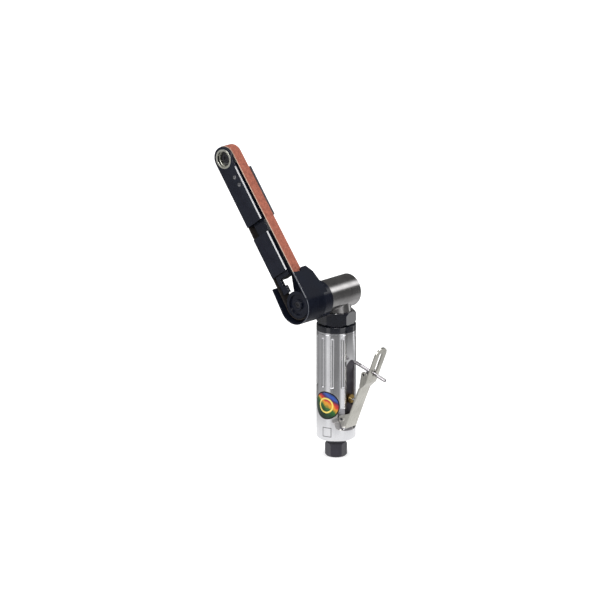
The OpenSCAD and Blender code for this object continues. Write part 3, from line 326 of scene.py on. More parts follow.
def scratch_group():
    """Fine hairlines, drawn out along one direction."""
    group, given, out = new_group("hairlines", {"Stretch": (900.0, 900.0, 40.0)}, ["Mask"])
    drawn = vector_calc(group, "MULTIPLY", object_place(group), given["Stretch"])
    hair = noise(group, drawn, scale=1.0, detail=3.0, roughness=0.7)
    group.links.new(sharpen(group, hair, low=0.3, high=0.7), out["Mask"])
    return group


def turning_group():
    """Fine rings left by a lathe tool, square to an axis."""
    group, given, out = new_group("turning", {"Axis": (0.0, 1.0, 0.0), "Rings": 2500.0}, ["Line"])
    along = vector_calc(group, "DOT_PRODUCT", object_place(group), given["Axis"])
    links = {"W": calc(group, "MULTIPLY", along, given["Rings"]), "Scale": 1.0, "Detail": 3.0}
    line = add_node(group, "ShaderNodeTexNoise", links, noise_dimensions="1D").outputs["Fac"]
    group.links.new(sharpen(group, line, low=0.25, high=0.75), out["Line"])
    return group


def peel_group():
    """The slight orange peel of a sprayed coat."""
    group, given, out = new_group("orange_peel", {"Scale": 700.0}, ["Height"])
    group.links.new(noise(group, object_place(group), given["Scale"], detail=2.0), out["Height"])
    return group


def grit_group():
    """Closely set abrasive grains: their height and how light each one is."""
    group, given, out = new_group("grit", {"Scale": 2200.0}, ["Height", "Tone"])
    place = object_place(group)
    grains = add_node(group, "ShaderNodeTexVoronoi", {"Vector": place, "Scale": given["Scale"]}).outputs
    patches = noise(group, place, scale=260.0, detail=6.0, roughness=0.75)
    grey = add_node(group, "ShaderNodeRGBToBW", {"Color": grains["Color"]}).outputs["Val"]
    tone = calc(group, "MULTIPLY", grey, sharpen(group, patches, low=0.25, high=0.72))
    group.links.new(calc(group, "SUBTRACT", 1.0, grains["Distance"]), out["Height"])
    group.links.new(sharpen(group, tone, low=0.02, high=0.5), out["Tone"])
    return group


SMUDGES = smudge_group()
HAIRLINES = scratch_group()
TURNING = turning_group()
ORANGE_PEEL = peel_group()
GRIT = grit_group()


# Finishes

# Places of the colours among the inputs and outputs of a mixing node
MIX_FIRST = 6
MIX_SECOND = 7
MIX_RESULT = 2
# The blank square etched low on the barrel: its turn from the lever, its height, half width, line and colour
ETCHED_TURN = math.radians(-77)
ETCHED_HEIGHT = 31.5 * MM
ETCHED_HALF = 5 * MM
ETCHED_LINE_HALF = 0.3 * MM
ETCHED_LINE_SOFT = 0.2 * MM
ETCHED_GREY = (0.20, 0.20, 0.21)
# Colours of the printed disc from its lower left to its upper right, with their places on the way
DISC_COLOURS = [(0.0, (0.004, 0.010, 0.005, 1)), (0.30, (0.006, 0.035, 0.012, 1)),
                (0.46, (0.020, 0.110, 0.020, 1)), (0.56, (0.60, 0.27, 0.02, 1)),
                (0.65, (0.48, 0.03, 0.02, 1)), (0.75, (0.05, 0.02, 0.06, 1)),
                (0.87, (0.03, 0.08, 0.35, 1)), (1.0, (0.02, 0.04, 0.15, 1))]
# The way the colours run, how far clouds shift them, and where the first and the last one lie on that way
DISC_SLANT = (0.55, 0.83, 0.0)
DISC_WAVE = 0.2
DISC_ENDS = (-0.9, 1.1)
# The disc's ring by its radius, half width and soft edge, and its rim by its start and end, in radii
DISC_RING = (0.5, 0.04, 0.03)
DISC_RIM = (0.90, 0.93)
DISC_YELLOW = (0.70, 0.55, 0.12)
DISC_BLACK = (0.004, 0.004, 0.005)
# Where the belt's cloth turns from painted shade to its own colour, across the arm and along it from the drive
# pulley, and the colour of that painted shade
UNSHADED_ACROSS = (0.0, 7 * MM)
UNSHADED_ALONG = (5 * MM, 28 * MM)
BELT_PAINTED_SHADE = (0.020, 0.015, 0.013)


class Finish:
    """A material with its shader, and the steps that add detail to it."""

    def __init__(self, name, metallic=0.0, **constants):
        self.material = bpy.data.materials.new(name)
        self.material.use_nodes = True
        self.tree = self.material.node_tree
        self.shader = self.tree.nodes["Principled BSDF"]
        self.shader.inputs["Metallic"].default_value = metallic
        for socket, value in constants.items():
            self.shader.inputs[socket.replace("_", " ")].default_value = value

    def use(self, group, output, **inputs):
        """Output of a shared group placed with its own values."""
        return add_node(self.tree, "ShaderNodeGroup", inputs, node_tree=group).outputs[output]

    def mix(self, mask, first, second):
        """A colour between two, by a mask."""
        links = {"Factor": mask}
        for socket, value in ((MIX_FIRST, first), (MIX_SECOND, second)):
            links[socket] = value if isinstance(value, bpy.types.NodeSocket) else (*value, 1)
        return add_node(self.tree, "ShaderNodeMix", links, data_type="RGBA").outputs[MIX_RESULT]

    def colour(self, value):
        """Links the base colour."""
        self.tree.links.new(value, self.shader.inputs["Base Color"])

    def roughness(self, mask, low, high):
        """Roughness between two values, by a mask."""
        links = {"Value": mask, "To Min": low, "To Max": high}
        node = add_node(self.tree, "ShaderNodeMapRange", links)
        self.tree.links.new(node.outputs["Result"], self.shader.inputs["Roughness"])

    def bump(self, height, strength, distance):
        """Raises the surface by a height, up to a distance."""
        links = {"Height": height, "Strength": strength, "Distance": distance}
        node = add_node(self.tree, "ShaderNodeBump", links)
        self.tree.links.new(node.outputs["Normal"], self.shader.inputs["Normal"])


def turned_metal(name, dark, light, rough, axis=(0, 1, 0)):
    """Bare metal with lathe rings and faint oil patches."""
    finish = Finish(name, metallic=1.0)
    line = finish.use(TURNING, "Line", Axis=axis)
    smudge = finish.use(SMUDGES, "Mask", Scale=70.0)
    finish.colour(finish.mix(smudge, light, dark))
    finish.roughness(line, *rough)
    finish.bump(line, strength=0.25, distance=0.01 * MM)
    return finish.material


def drawn_metal(name, dark, light, rough, stretch):
    """Bare metal with hairlines along one direction."""
    finish = Finish(name, metallic=1.0)
    hair = finish.use(HAIRLINES, "Mask", Stretch=stretch)
    smudge = finish.use(SMUDGES, "Mask", Scale=45.0)
    finish.colour(finish.mix(smudge, light, dark))
    finish.roughness(hair, *rough)
    finish.bump(hair, strength=0.2, distance=0.008 * MM)
    return finish.material


def black_coat(name, dark, light, rough, peel=0.01, shine=0.5):
    """Black paint or oxide with orange peel, its height in millimetres, and worn, paler patches."""
    finish = Finish(name, Specular_IOR_Level=shine)
    smudge = finish.use(SMUDGES, "Mask", Scale=55.0)
    finish.colour(finish.mix(smudge, dark, light))
    finish.roughness(smudge, *rough)
    finish.bump(finish.use(ORANGE_PEEL, "Height"), strength=0.3, distance=peel * MM)
    return finish.material


def etched_square(tree):
    """Mask of the thin frame of a blank etched square low on the barrel."""
    parts = add_node(tree, "ShaderNodeSeparateXYZ", {"Vector": object_place(tree)}).outputs
    turn = calc(tree, "SUBTRACT", calc(tree, "ARCTAN2", parts["Y"], parts["X"]), ETCHED_TURN)
    across = calc(tree, "ABSOLUTE", calc(tree, "MULTIPLY", turn, BARREL_R))
    up = calc(tree, "ABSOLUTE", calc(tree, "SUBTRACT", parts["Z"], ETCHED_HEIGHT))
    return band(tree, calc(tree, "MAXIMUM", across, up), ETCHED_HALF, ETCHED_LINE_HALF, ETCHED_LINE_SOFT)


def etched_barrel():
    """Polished aluminium with lengthwise hairlines and a blank etched square near the bottom."""
    finish = Finish("polished_barrel", metallic=1.0)
    hair = finish.use(HAIRLINES, "Mask", Stretch=(700.0, 700.0, 25.0))
    smudge = finish.use(SMUDGES, "Mask", Scale=35.0)
    etched = etched_square(finish.tree)
    metal = finish.mix(smudge, (0.90, 0.90, 0.92), (0.80, 0.80, 0.83))
    finish.colour(finish.mix(etched, metal, ETCHED_GREY))
    finish.roughness(calc(finish.tree, "MAXIMUM", hair, etched), low=0.10, high=0.24)
    finish.bump(hair, strength=0.12, distance=0.006 * MM)
    return finish.material


def printed_disc():
    """A glossy printed disc: colours from green to blue on the slant, a plain yellow ring and a black rim."""
    finish = Finish("printed_disc", Roughness=0.22)
    tree = finish.tree
    place = add_node(tree, "ShaderNodeUVMap", (), uv_map="disc").outputs["UV"]
    out = vector_calc(tree, "LENGTH", place)
    slant = vector_calc(tree, "DOT_PRODUCT", place, DISC_SLANT)
    cloud = finish.use(SMUDGES, "Mask", Scale=120.0)
    wave = calc(tree, "MULTIPLY_ADD", cloud, DISC_WAVE, slant)
    ramp = add_node(tree, "ShaderNodeValToRGB", {"Fac": sharpen(tree, wave, *DISC_ENDS)})
    stops = ramp.color_ramp.elements
    stops[0].color = DISC_COLOURS[0][1]
    stops[1].color = DISC_COLOURS[-1][1]
    for position, colour in DISC_COLOURS[1:-1]:
        stops.new(position).color = colour
    ringed = finish.mix(band(tree, out, *DISC_RING), ramp.outputs["Color"], DISC_YELLOW)
    finish.colour(finish.mix(sharpen(tree, out, *DISC_RIM), ringed, DISC_BLACK))
    finish.bump(finish.use(ORANGE_PEEL, "Height"), strength=0.1, distance=0.004 * MM)
    return finish.material


def abrasive_face():
    """Red-brown grit, paler on some grains picked at random, in patches."""
    finish = Finish("abrasive_face", Roughness=0.85)
    tone = finish.use(GRIT, "Tone")
    finish.colour(finish.mix(tone, (0.17, 0.045, 0.027), (0.41, 0.125, 0.077)))
    finish.bump(finish.use(GRIT, "Height"), strength=0.8, distance=0.12 * MM)
    return finish.material


def cloth_backing(name, dark, light):
    """The belt's woven backing, which shows at its edges and inside; painted shade darkens it on the return run
    and round the drive pulley.
    """
    finish = Finish(name, Roughness=0.8)
    tree = finish.tree
    weave = finish.use(HAIRLINES, "Mask", Stretch=(1600.0, 3200.0, 1600.0))
    from_drive = vector_calc(tree, "SUBTRACT", object_place(tree), DRIVE_CENTRE)
    across = vector_calc(tree, "DOT_PRODUCT", from_drive, ARM_ACROSS)
    along = vector_calc(tree, "DOT_PRODUCT", from_drive, ARM_ALONG)
    # Painted shade on the return run and round the drive pulley; the cloth's own colour on the working run
    working = calc(tree, "MULTIPLY", sharpen(tree, across, *UNSHADED_ACROSS), sharpen(tree, along, *UNSHADED_ALONG))
    finish.colour(finish.mix(working, BELT_PAINTED_SHADE, finish.mix(weave, dark, light)))
    finish.bump(weave, strength=0.4, distance=0.05 * MM)
    return finish.material


def soft_rubber():
    """Matt black rubber with a bloom."""
    finish = Finish("seal_rubber")
    smudge = finish.use(SMUDGES, "Mask", Scale=200.0)
    finish.colour(finish.mix(smudge, (0.012, 0.012, 0.012), (0.03, 0.03, 0.03)))
    finish.roughness(smudge, low=0.6, high=0.8)
    return finish.material


# Each with its dark and its light colour, its least and greatest roughness and what sets it apart

polished_barrel = etched_barrel()
# Dark metal for the pocket behind the lever: painted shade in the recess
pocket_painted_shade = turned_metal("pocket_painted_shade", (0.10, 0.09, 0.11), (0.17, 0.16, 0.18), (0.4, 0.55),
                            axis=(0, 0, 1))
slot_metal = turned_metal("slot_metal", (0.62, 0.61, 0.63), (0.76, 0.75, 0.77), (0.45, 0.6),
                          axis=(0, 0, 1))
disc_print = printed_disc()
gloss_black = black_coat("gloss_black", (0.005, 0.006, 0.010), (0.010, 0.011, 0.016), (0.03, 0.08),
                         peel=0.002, shine=0.9)
arm_black = black_coat("arm_black", (0.004, 0.005, 0.011), (0.008, 0.010, 0.018), (0.16, 0.26),
                       peel=0.002, shine=0.4)
guard_black = black_coat("guard_black", (0.004, 0.005, 0.010), (0.007, 0.009, 0.016), (0.24, 0.34),
                         peel=0.002, shine=0.08)
cast_black = black_coat("cast_black", (0.003, 0.004, 0.008), (0.006, 0.007, 0.012), (0.6, 0.75),
                        shine=0.05)
# Glossier, a little paler paint for bevels and chamfers: the gloss is real, the paler colour a painted highlight
arm_edge_highlight = black_coat("arm_black_edge_highlight", (0.010, 0.012, 0.020), (0.022, 0.025, 0.036), (0.13, 0.17),
                      peel=0.001, shine=0.6)
# Grey line on the guard's rim round the pulley: a painted highlight
rim_painted_highlight = black_coat("rim_painted_highlight", (0.07, 0.075, 0.09), (0.13, 0.135, 0.15), (0.3, 0.4), peel=0.001)
inlet_black = black_coat("inlet_black", (0.010, 0.009, 0.018), (0.018, 0.016, 0.027), (0.16, 0.26))
head_steel = turned_metal("head_steel", (0.42, 0.41, 0.41), (0.56, 0.55, 0.55), (0.14, 0.26))
wheel_steel = turned_metal("wheel_steel", (0.68, 0.68, 0.60), (0.86, 0.86, 0.77), (0.24, 0.38))
nickel_plate = drawn_metal("nickel_plate", (0.51, 0.50, 0.455), (0.65, 0.635, 0.585), (0.24, 0.36),
                           stretch=(600.0, 600.0, 60.0))
chrome_rod = drawn_metal("chrome_rod", (0.34, 0.32, 0.34), (0.52, 0.50, 0.52), (0.07, 0.13),
                         stretch=(60.0, 900.0, 900.0))
turned_brass = turned_metal("turned_brass", (0.62, 0.38, 0.12), (0.83, 0.58, 0.22), (0.14, 0.28),
                            axis=(1, 0, 0))
machined_steel = turned_metal("machined_steel", (0.48, 0.48, 0.50), (0.66, 0.66, 0.68), (0.2, 0.34),
                              axis=(0, 0, 1))
black_screw = black_coat("black_screw", (0.008, 0.008, 0.011), (0.022, 0.022, 0.027), (0.2, 0.34))
bearing_steel = turned_metal("bearing_steel", (0.60, 0.61, 0.63), (0.76, 0.76, 0.78), (0.14, 0.24))
bearing_shield = turned_metal("bearing_shield", (0.07, 0.07, 0.08), (0.13, 0.13, 0.14), (0.25, 0.4))
spring_wire = drawn_metal("spring_wire", (0.30, 0.30, 0.32), (0.46, 0.46, 0.48), (0.2, 0.34),
                          stretch=(900.0, 900.0, 900.0))
faced_bronze = turned_metal("faced_bronze", (0.40, 0.27, 0.12), (0.58, 0.42, 0.22), (0.24, 0.4),
                            axis=(0, 0, 1))
vane_plastic = black_coat("vane_plastic", (0.10, 0.055, 0.03), (0.15, 0.09, 0.05), (0.5, 0.65))
seal_rubber = soft_rubber()
belt_grit = abrasive_face()
belt_rim = cloth_backing("belt_rim", (0.36, 0.24, 0.18), (0.56, 0.42, 0.34))
# The inside is near black: painted shade inside the belt's loop
belt_inside_shaded = cloth_backing("belt_inside_shaded", (0.020, 0.016, 0.014), (0.045, 0.034, 0.028))


# The pieces that keep the solids' shape: how far their edges are rounded, in millimetres, and their finishes

EDGED_PIECES = {
    "inlet_bushing": (0.35, inlet_black),
    "inlet_seal": (0.15, seal_rubber),
    "inlet_screen": (0.1, machined_steel),
    "lock_ring": (0.5, gloss_black),
    "clamp_nut": (0.5, gloss_black),
    "valve_bush": (0.2, turned_brass),
    "valve_stem": (0.2, machined_steel),
    "valve_seal": (0.1, seal_rubber),
    "lever_pin": (0.2, black_screw),
    "lock_pin": (0.2, black_screw),
    "lock_bar": (0.15, chrome_rod),
    "rear_bearing": (0.2, bearing_steel),
    "rear_end_plate": (0.2, faced_bronze),
    "motor_cylinder": (0.2, machined_steel),
    "front_end_plate": (0.2, faced_bronze),
    "front_bearing": (0.2, bearing_steel),
    "spacer_sleeve": (0.2, machined_steel),
    "rotor": (0.15, machined_steel),
    "rotor_vanes": (0.15, vane_plastic),
    "bevel_pinion": (0.1, machined_steel),
    "angle_head": (0.5, head_steel),
    "pinion_bearing": (0.2, bearing_steel),
    "head_cap": (0.3, head_steel),
    "spindle_rear_bearing": (0.2, bearing_steel),
    "spindle_front_bearing": (0.2, bearing_steel),
    "retaining_ring": (0.1, black_screw),
    "spindle": (0.2, machined_steel),
    "bevel_gear": (0.1, machined_steel),
    "drive_pulley": (0.4, arm_black),
    "pulley_screw": (0.2, black_screw),
    "belt_hub": (0.6, arm_black, arm_edge_highlight),
    "hub_clamp_screw": (0.2, black_screw),
    "guard_screws": (0.15, black_screw),
    "arm_screws": (0.15, black_screw),
    "idler_eye": (0.35, wheel_steel),
    "tracking_screws": (0.15, spring_wire),
    "idler_axle": (0.2, machined_steel),
    "axle_screw": (0.3, black_screw),
    "idler_wheel": (0.6, wheel_steel),
    "idler_bearings": (0.2, bearing_shield),
}
for node, (edge, *materials) in EDGED_PIECES.items():
    finished_copy(node, edge * MM, *materials)


# The barrel with its printed disc, the lever, the guard and the two lengths of the arm

BARREL_ROUND = 0.4 * MM
# Half width of the pocket behind the lever and its reach above the lever pin
POCKET_HALF = 6.9 * MM
POCKET_UP = 69 * MM
# Reach of the slot round the pin: towards the barrel's middle, down and up
SLOT_IN = 10 * MM
SLOT_DOWN = 10 * MM
SLOT_UP = 2 * MM
# Depth from which a face of the barrel is sunk, and parts of its normal that tell where a face looks
SUNK_DEPTH = 1.3 * MM
LOOKS_OUT = 0.6
SLOPES = 0.1
LOOKS_TO_LIGHT = -0.6
# Places of the pocket's dark painted shade and of the slot's dull finish among the barrel's materials
BARREL_POCKET_SHADE = 1
BARREL_SLOT = 2
# The printed disc: its turn from the lever, its height, radius and thickness, the gap under it and its facets
DISC_TURN = math.radians(-80)
DISC_HEIGHT = 62 * MM
DISC_R = 15.8 * MM
DISC_T = 0.15 * MM
DISC_GAP = 0.02 * MM
DISC_SIDES = 64
DISC_RINGS = 8
# The lever: how round its bends are, in how many steps, and its edges
LEVER_BEND = 1.4 * MM
LEVER_BEND_STEPS = 4
LEVER_ROUND = 0.35 * MM
# The guard: its bright front edge, its rim with a painted highlight and its other edges
GUARD_FRONT_EDGE = 0.6 * MM
GUARD_RIM_EDGE = 0.5 * MM
GUARD_ROUND = 0.3 * MM
# Parts of the normal between which the guard's outside takes the rim's painted highlight
RIM_LOW = -0.8
RIM_HIGH = 0.5
RIM_SIDE = 0.5
# Places of the rim's painted highlight and of the front edge's finish among the guard's materials
GUARD_RIM_HIGHLIGHT = 1
GUARD_BRIGHT = 2
# The arm: its edges, how near to the chamfer's and to the lower end's direction a face has to look
ARM_ROUND = 0.3 * MM
ON_CHAMFER = 0.99
ON_LOWER_END = -0.9
# Places of the chamfer's and the lower end's finishes among the arm's materials
ARM_BRIGHT = 1
ARM_ROUGH = 2


def polished_housing():
    """The barrel, bright outside, with painted shade in the pocket behind the lever, except on the pocket's walls
    turned to the lit side, and dull in the slot round the pin.
    """
    barrel = finished_copy("barrel_housing", BARREL_ROUND, polished_barrel)
    barrel.data.materials.append(pocket_painted_shade)
    barrel.data.materials.append(slot_metal)
    for face in barrel.data.polygons:
        across = Vector((face.center.x, face.center.y, 0))
        up = face.center.z - LEVER_PIN.z
        sunk = across.length < BARREL_R - SUNK_DEPTH
        turned_in = face.normal.dot(across.normalized()) < LOOKS_OUT
        sloping = abs(face.normal.z) > SLOPES
        if across.x < LEVER_PIN.x - SLOT_IN or not (sunk or turned_in or sloping):
            continue
        # In the pocket, walls turned to the lit side keep the slot's lighter finish; the rest takes the painted
        # shade
        if abs(across.y) < POCKET_HALF and across.x > LEVER_PIN.x and 0 < up < POCKET_UP:
            face.material_index = BARREL_SLOT if face.normal.y < LOOKS_TO_LIGHT else BARREL_POCKET_SHADE
        elif -SLOT_DOWN < up < SLOT_UP:
            face.material_index = BARREL_SLOT


def disc_on_barrel():
    """A thin round disc laid on the barrel, with rings of faces so that it follows the curve."""
    start_fresh()
    bpy.ops.mesh.primitive_circle_add(vertices=DISC_SIDES, radius=DISC_R)
    disc = bpy.context.object
    disc.name = "printed_disc"
    open_mesh(disc)
    for ring in range(DISC_RINGS, 1, -1):
        bpy.ops.mesh.extrude_edges_move()
        shrink = (ring - 1) / ring
        bpy.ops.transform.resize(value=(shrink, shrink, 1), center_override=(0, 0, 0))
    bpy.ops.mesh.edge_face_add()
    bpy.ops.mesh.poke()
    bpy.ops.object.mode_set(mode="OBJECT")
    face_outwards(disc)
    flat = disc.data.uv_layers.new(name="disc")
    for loop in disc.data.loops:
        spot = disc.data.vertices[loop.vertex_index].co
        flat.data[loop.index].uv = (spot.x / DISC_R, spot.y / DISC_R)
    base = BARREL_R + DISC_GAP
    for vertex in disc.data.vertices:
        angle = DISC_TURN + vertex.co.x / BARREL_R
        vertex.co = Vector((base * math.cos(angle), base * math.sin(angle), DISC_HEIGHT + vertex.co.y))
    face_outwards(disc)
    outer = disc.data.polygons[0]
    if outer.normal.dot(Vector((outer.center.x, outer.center.y, 0))) < 0:
        disc.data.flip_normals()
    add_modifier(disc, "SOLIDIFY", thickness=DISC_T, offset=1)
    soften_edges(disc, DISC_T / 3, steps=2, angle=THIN_BEVEL_ANGLE)
    smooth(disc)
    paint(disc, disc_print)
    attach(disc, body_of["barrel_housing"])


def bent_lever():
    """The lever, with the bends between its face and its ears rounded as in sheet metal."""
    lever = merged_copy("throttle_lever", nickel_plate)
    for side in (1, -1):
        bevel_where(lever, long_edge(LEVER_OUT, Vector((0, side, 0))), LEVER_BEND, LEVER_BEND_STEPS)
    round_off(lever, "throttle_lever", LEVER_ROUND)


def edged_guard():
    """The guard, with the bright edge along the front of its side plate and a grey painted highlight on its rim
    round the pulley.
    """
    guard = merged_copy("belt_guard", guard_black, rim_painted_highlight, arm_edge_highlight)

    def on_rim(normals, length):
        """Whether an edge lies on the curve between the front face and the outside, below the side plate."""
        faces_front = any(normal.dot(FRONT) > SAME_WAY for normal in normals)
        outside = [normal for normal in normals if normal.x > RIM_SIDE]
        return faces_front and any(RIM_LOW < normal.z < RIM_HIGH for normal in outside)

    bevel_where(guard, long_edge(ARM_ACROSS, FRONT), GUARD_FRONT_EDGE, steps=1, material=GUARD_BRIGHT)
    bevel_where(guard, on_rim, GUARD_RIM_EDGE, steps=1, material=GUARD_RIM_HIGHLIGHT)
    round_off(guard, "belt_guard", GUARD_ROUND)


def bright_ridge(node):
    """A length of the arm, with its front chamfer in the glossier, paler edge paint, partly a painted highlight,
    and its lower end left rough.
    """
    arm = finished_copy(node, ARM_ROUND, arm_black, arm_edge_highlight)
    arm.data.materials.append(cast_black)
    chamfer = (ARM_ACROSS + FRONT).normalized()
    for face in arm.data.polygons:
        if face.normal.dot(chamfer) > ON_CHAMFER:
            face.material_index = ARM_BRIGHT
        if face.normal.dot(ARM_ALONG) < ON_LOWER_END:
            face.material_index = ARM_ROUGH


polished_housing()
disc_on_barrel()
bent_lever()
edged_guard()
bright_ridge("lower_arm")
bright_ridge("idler_bracket")


# Wire springs and the thread of the air inlet

# Points of a wound piece that lie closer than this are merged
COIL_GAP = 0.001 * MM
# Corners of the springs' wire, and steps in one of their turns
WIRE_SIDES = 10
SPRING_STEPS = 28
# The thread: the bore it is cut in, where it begins, its turns, their pitch, depth, corners and steps
INLET_BORE_R = 5.7 * MM
THREAD_START = 1.5 * MM
THREAD_TURNS = 9
THREAD_PITCH = 1.34 * MM
THREAD_DEPTH = 0.3 * MM
THREAD_SIDES = 3
THREAD_STEPS = 48


def wind_up(name, sides, radius, out, up, turns, rise, steps):
    """A closed coil: a small section, out from the Z axis and up from its foot, wound round that axis."""
    start_fresh()
    bpy.ops.mesh.primitive_circle_add(vertices=sides, radius=radius, rotation=UPRIGHT,
                                      location=(out, 0, up), fill_type="NGON")
    coil = bpy.context.object
    coil.name = name
    settle(coil)
    add_modifier(coil, "SCREW", axis="Z", angle=math.tau, iterations=turns, steps=steps, render_steps=steps,
                 screw_offset=rise, use_merge_vertices=True)
    open_mesh(coil)
    bpy.ops.mesh.remove_doubles(threshold=COIL_GAP)
    bpy.ops.mesh.fill_holes(sides=0)
    bpy.ops.mesh.normals_make_consistent(inside=False)
    bpy.ops.object.mode_set(mode="OBJECT")
    return coil


def wire_spring(node, along, turns, wire, joint=None):
    """A coil of round wire that fills a spring's sleeve; with a joint, it gets a mesh of its own."""
    turn = Vector((0, 0, 1)).rotation_difference(along).to_matrix().to_4x4()
    flat = [turn.inverted() @ Vector(vertex.co) for vertex in frame["nodes"][node].data.vertices]
    bottom = min(point.z for point in flat)
    length = max(point.z for point in flat) - bottom
    centre = turn.inverted() @ middle(node)
    outer = (max(point.x for point in flat) - min(point.x for point in flat)) / 2
    coil = wind_up(node + ".coil", WIRE_SIDES, radius=wire / 2, out=outer - wire / 2, up=wire / 2,
                   turns=turns, rise=(length - wire) / turns, steps=SPRING_STEPS)
    coil.matrix_world = turn @ Matrix.Translation((centre.x, centre.y, bottom))
    settle(coil)
    smooth(coil, COIL_SHARP_DEGREES)
    paint(coil, spring_wire)
    mount(coil, node)
    if joint:
        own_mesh(coil)


def inlet_thread():
    """The thread in the air inlet: a fine ridge wound up the bore."""
    ridge = wind_up("inlet_thread", THREAD_SIDES, radius=THREAD_DEPTH, out=INLET_BORE_R + THREAD_DEPTH / 4,
                    up=THREAD_START, turns=THREAD_TURNS, rise=THREAD_PITCH, steps=THREAD_STEPS)
    smooth(ridge, COIL_SHARP_DEGREES)
    paint(ridge, inlet_black)
    mount(ridge, "inlet_bushing", replaced=False)


wire_spring("valve_spring", Vector((1, 0, 0)), turns=7, wire=1.0 * MM, joint="valve_slide")
wire_spring("lock_spring", Vector((0, 1, 0)), turns=4, wire=0.7 * MM)
wire_spring("tension_spring", ARM_ALONG, turns=9, wire=1.2 * MM, joint="tension_slide")
inlet_thread()


# The abrasive belt

# Its thickness, the slight gap that keeps it clear of the wheels, its bevelled edge and its facets
BELT_T = 1.2 * MM
BELT_GAP = 0.3 * MM
BELT_EDGE = 0.15 * MM
BELT_SIDES = 96
# Points of the round section that lie higher than this go to the idler
IDLER_HALF = 0.01 * MM
# Places of the inside's and the rim's finishes among the belt's materials
BELT_INSIDE = 1
BELT_RIM = 2


def abrasive_belt():
    """An endless band round the two wheels, grit outside and cloth inside."""
    low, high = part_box("sanding_belt")
    drive_out = size("drive_pulley").x / 2 + BELT_GAP + BELT_T
    idler_out = size("idler_wheel").x / 2 + BELT_GAP + BELT_T
    start_fresh()
    bpy.ops.mesh.primitive_circle_add(vertices=BELT_SIDES, radius=drive_out, rotation=UPRIGHT,
                                      location=(0, high.y, 0))
    belt = bpy.context.object
    belt.name = "abrasive_belt"
    settle(belt)
    for vertex in belt.data.vertices:
        if vertex.co.z > IDLER_HALF:
            vertex.co.x *= idler_out / drive_out
            vertex.co.z = WHEEL_GAP + vertex.co.z * idler_out / drive_out
    open_mesh(belt)
    bpy.ops.mesh.extrude_region_move(TRANSFORM_OT_translate={"value": (0, low.y - high.y, 0)})
    bpy.ops.object.mode_set(mode="OBJECT")
    face_outwards(belt)
    paint(belt, belt_grit, belt_inside_shaded, belt_rim)
    add_modifier(belt, "SOLIDIFY", thickness=BELT_T, offset=-1, material_offset=BELT_INSIDE,
                 material_offset_rim=BELT_RIM)
    soften_edges(belt, BELT_EDGE, steps=1, angle=THIN_BEVEL_ANGLE, material=BELT_RIM)
    belt.matrix_world = Matrix.Translation(DRIVE_CENTRE) @ Matrix.Rotation(-ARM_TILT, 4, "Y")
    settle(belt)
    smooth(belt)
    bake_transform(belt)
    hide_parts("sanding_belt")


abrasive_belt()


# Stage: pale floor, soft light and the camera

# The photograph: its size, its scale, the place of the frame's origin in it and its view
PHOTO_PX = 600
MM_PER_PX = 1.10
ORIGIN_PX = (336, 454.5)
VIEW_AZIMUTH = math.radians(41.3)
VIEW_ELEVATION = math.radians(15.5)
CAMERA_AWAY = 5.0
CAMERA_REACH = 50
SENSOR_MM = 36
# The floor: its reach, facets, depth under the object and colour, and its glow near the object and far away
FLOOR_R = 8
FLOOR_SIDES = 128
FLOOR_DROP = 0.2 * MM
FLOOR_WHITE = (0.9, 0.9, 0.9, 1)
FLOOR_MATT = 0.9
FLOOR_NEAR = 0.2
FLOOR_FAR = 2.4
FLOOR_GLOW_NEAR = 0.30
FLOOR_GLOW_FAR = 0.85
# The white table that shows in the metal near the floor: its reach, facets, solid part, depth and level
TABLE_R = 0.26
TABLE_SIDES = 96
TABLE_FADE_R = 0.4 * TABLE_R
TABLE_DROP = 0.4 * MM
TABLE_LEVEL = 0.9
# Pale panels round the studio at eye level: bearing from straight ahead, half width, soft edge and level
STUDIO_PANELS = [(-2.29, 0.1, 0.22, 0.75), (2.49, 0.14, 0.24, 0.85), (-1.5, 0.35, 0.3, 0.17),
                 (0.75, 0.3, 0.4, 0.15), (1.047, 0.04, 0.05, 1.3)]
# Level of the room, of the floor seen in metal and of the ceiling
STUDIO_ROOM = 0.12
STUDIO_FLOOR = 0.45
STUDIO_TOP = 0.1
# Heights between which the room turns into floor and into ceiling, from -1 straight down to 1 straight up
FLOOR_HEIGHTS = (-0.2, -0.5)
TOP_HEIGHTS = (-0.1, 0.12)
# The strip high on the right: bearing and height, each with half width and soft edge, and its level
STRIP_BEARING = (1.2, 0.1, 0.4)
STRIP_HEIGHT = (0.52, 0.05, 0.14)
STRIP_LEVEL = 1.6
# Level of the room for surfaces that don't mirror it, and of the ground behind the object
AMBIENT = 0.6
BACKGROUND = 1.0
# Soft lights: place to the right, up and ahead, width, length and power
SOFTBOXES = {
    "left_softbox": (-1.3, 0.9, -0.9, 0.7, 1.2, 10),
    "right_softbox": (1.2, 1.0, -1.0, 0.5, 1.2, 8),
    "top_softbox": (0.0, 1.9, 0.0, 1.1, 1.1, 14),
    "front_softbox": (-0.18, 1.63, -2.2, 0.6, 0.6, 20),
}


def view_axes():
    """Right, up and forward of the photograph's view."""
    right = Vector((math.cos(VIEW_AZIMUTH), math.sin(VIEW_AZIMUTH), 0))
    level = Vector((-math.sin(VIEW_AZIMUTH), math.cos(VIEW_AZIMUTH), 0))
    forward = level * math.cos(VIEW_ELEVATION) - Vector((0, 0, math.sin(VIEW_ELEVATION)))
    return right, right.cross(forward), forward


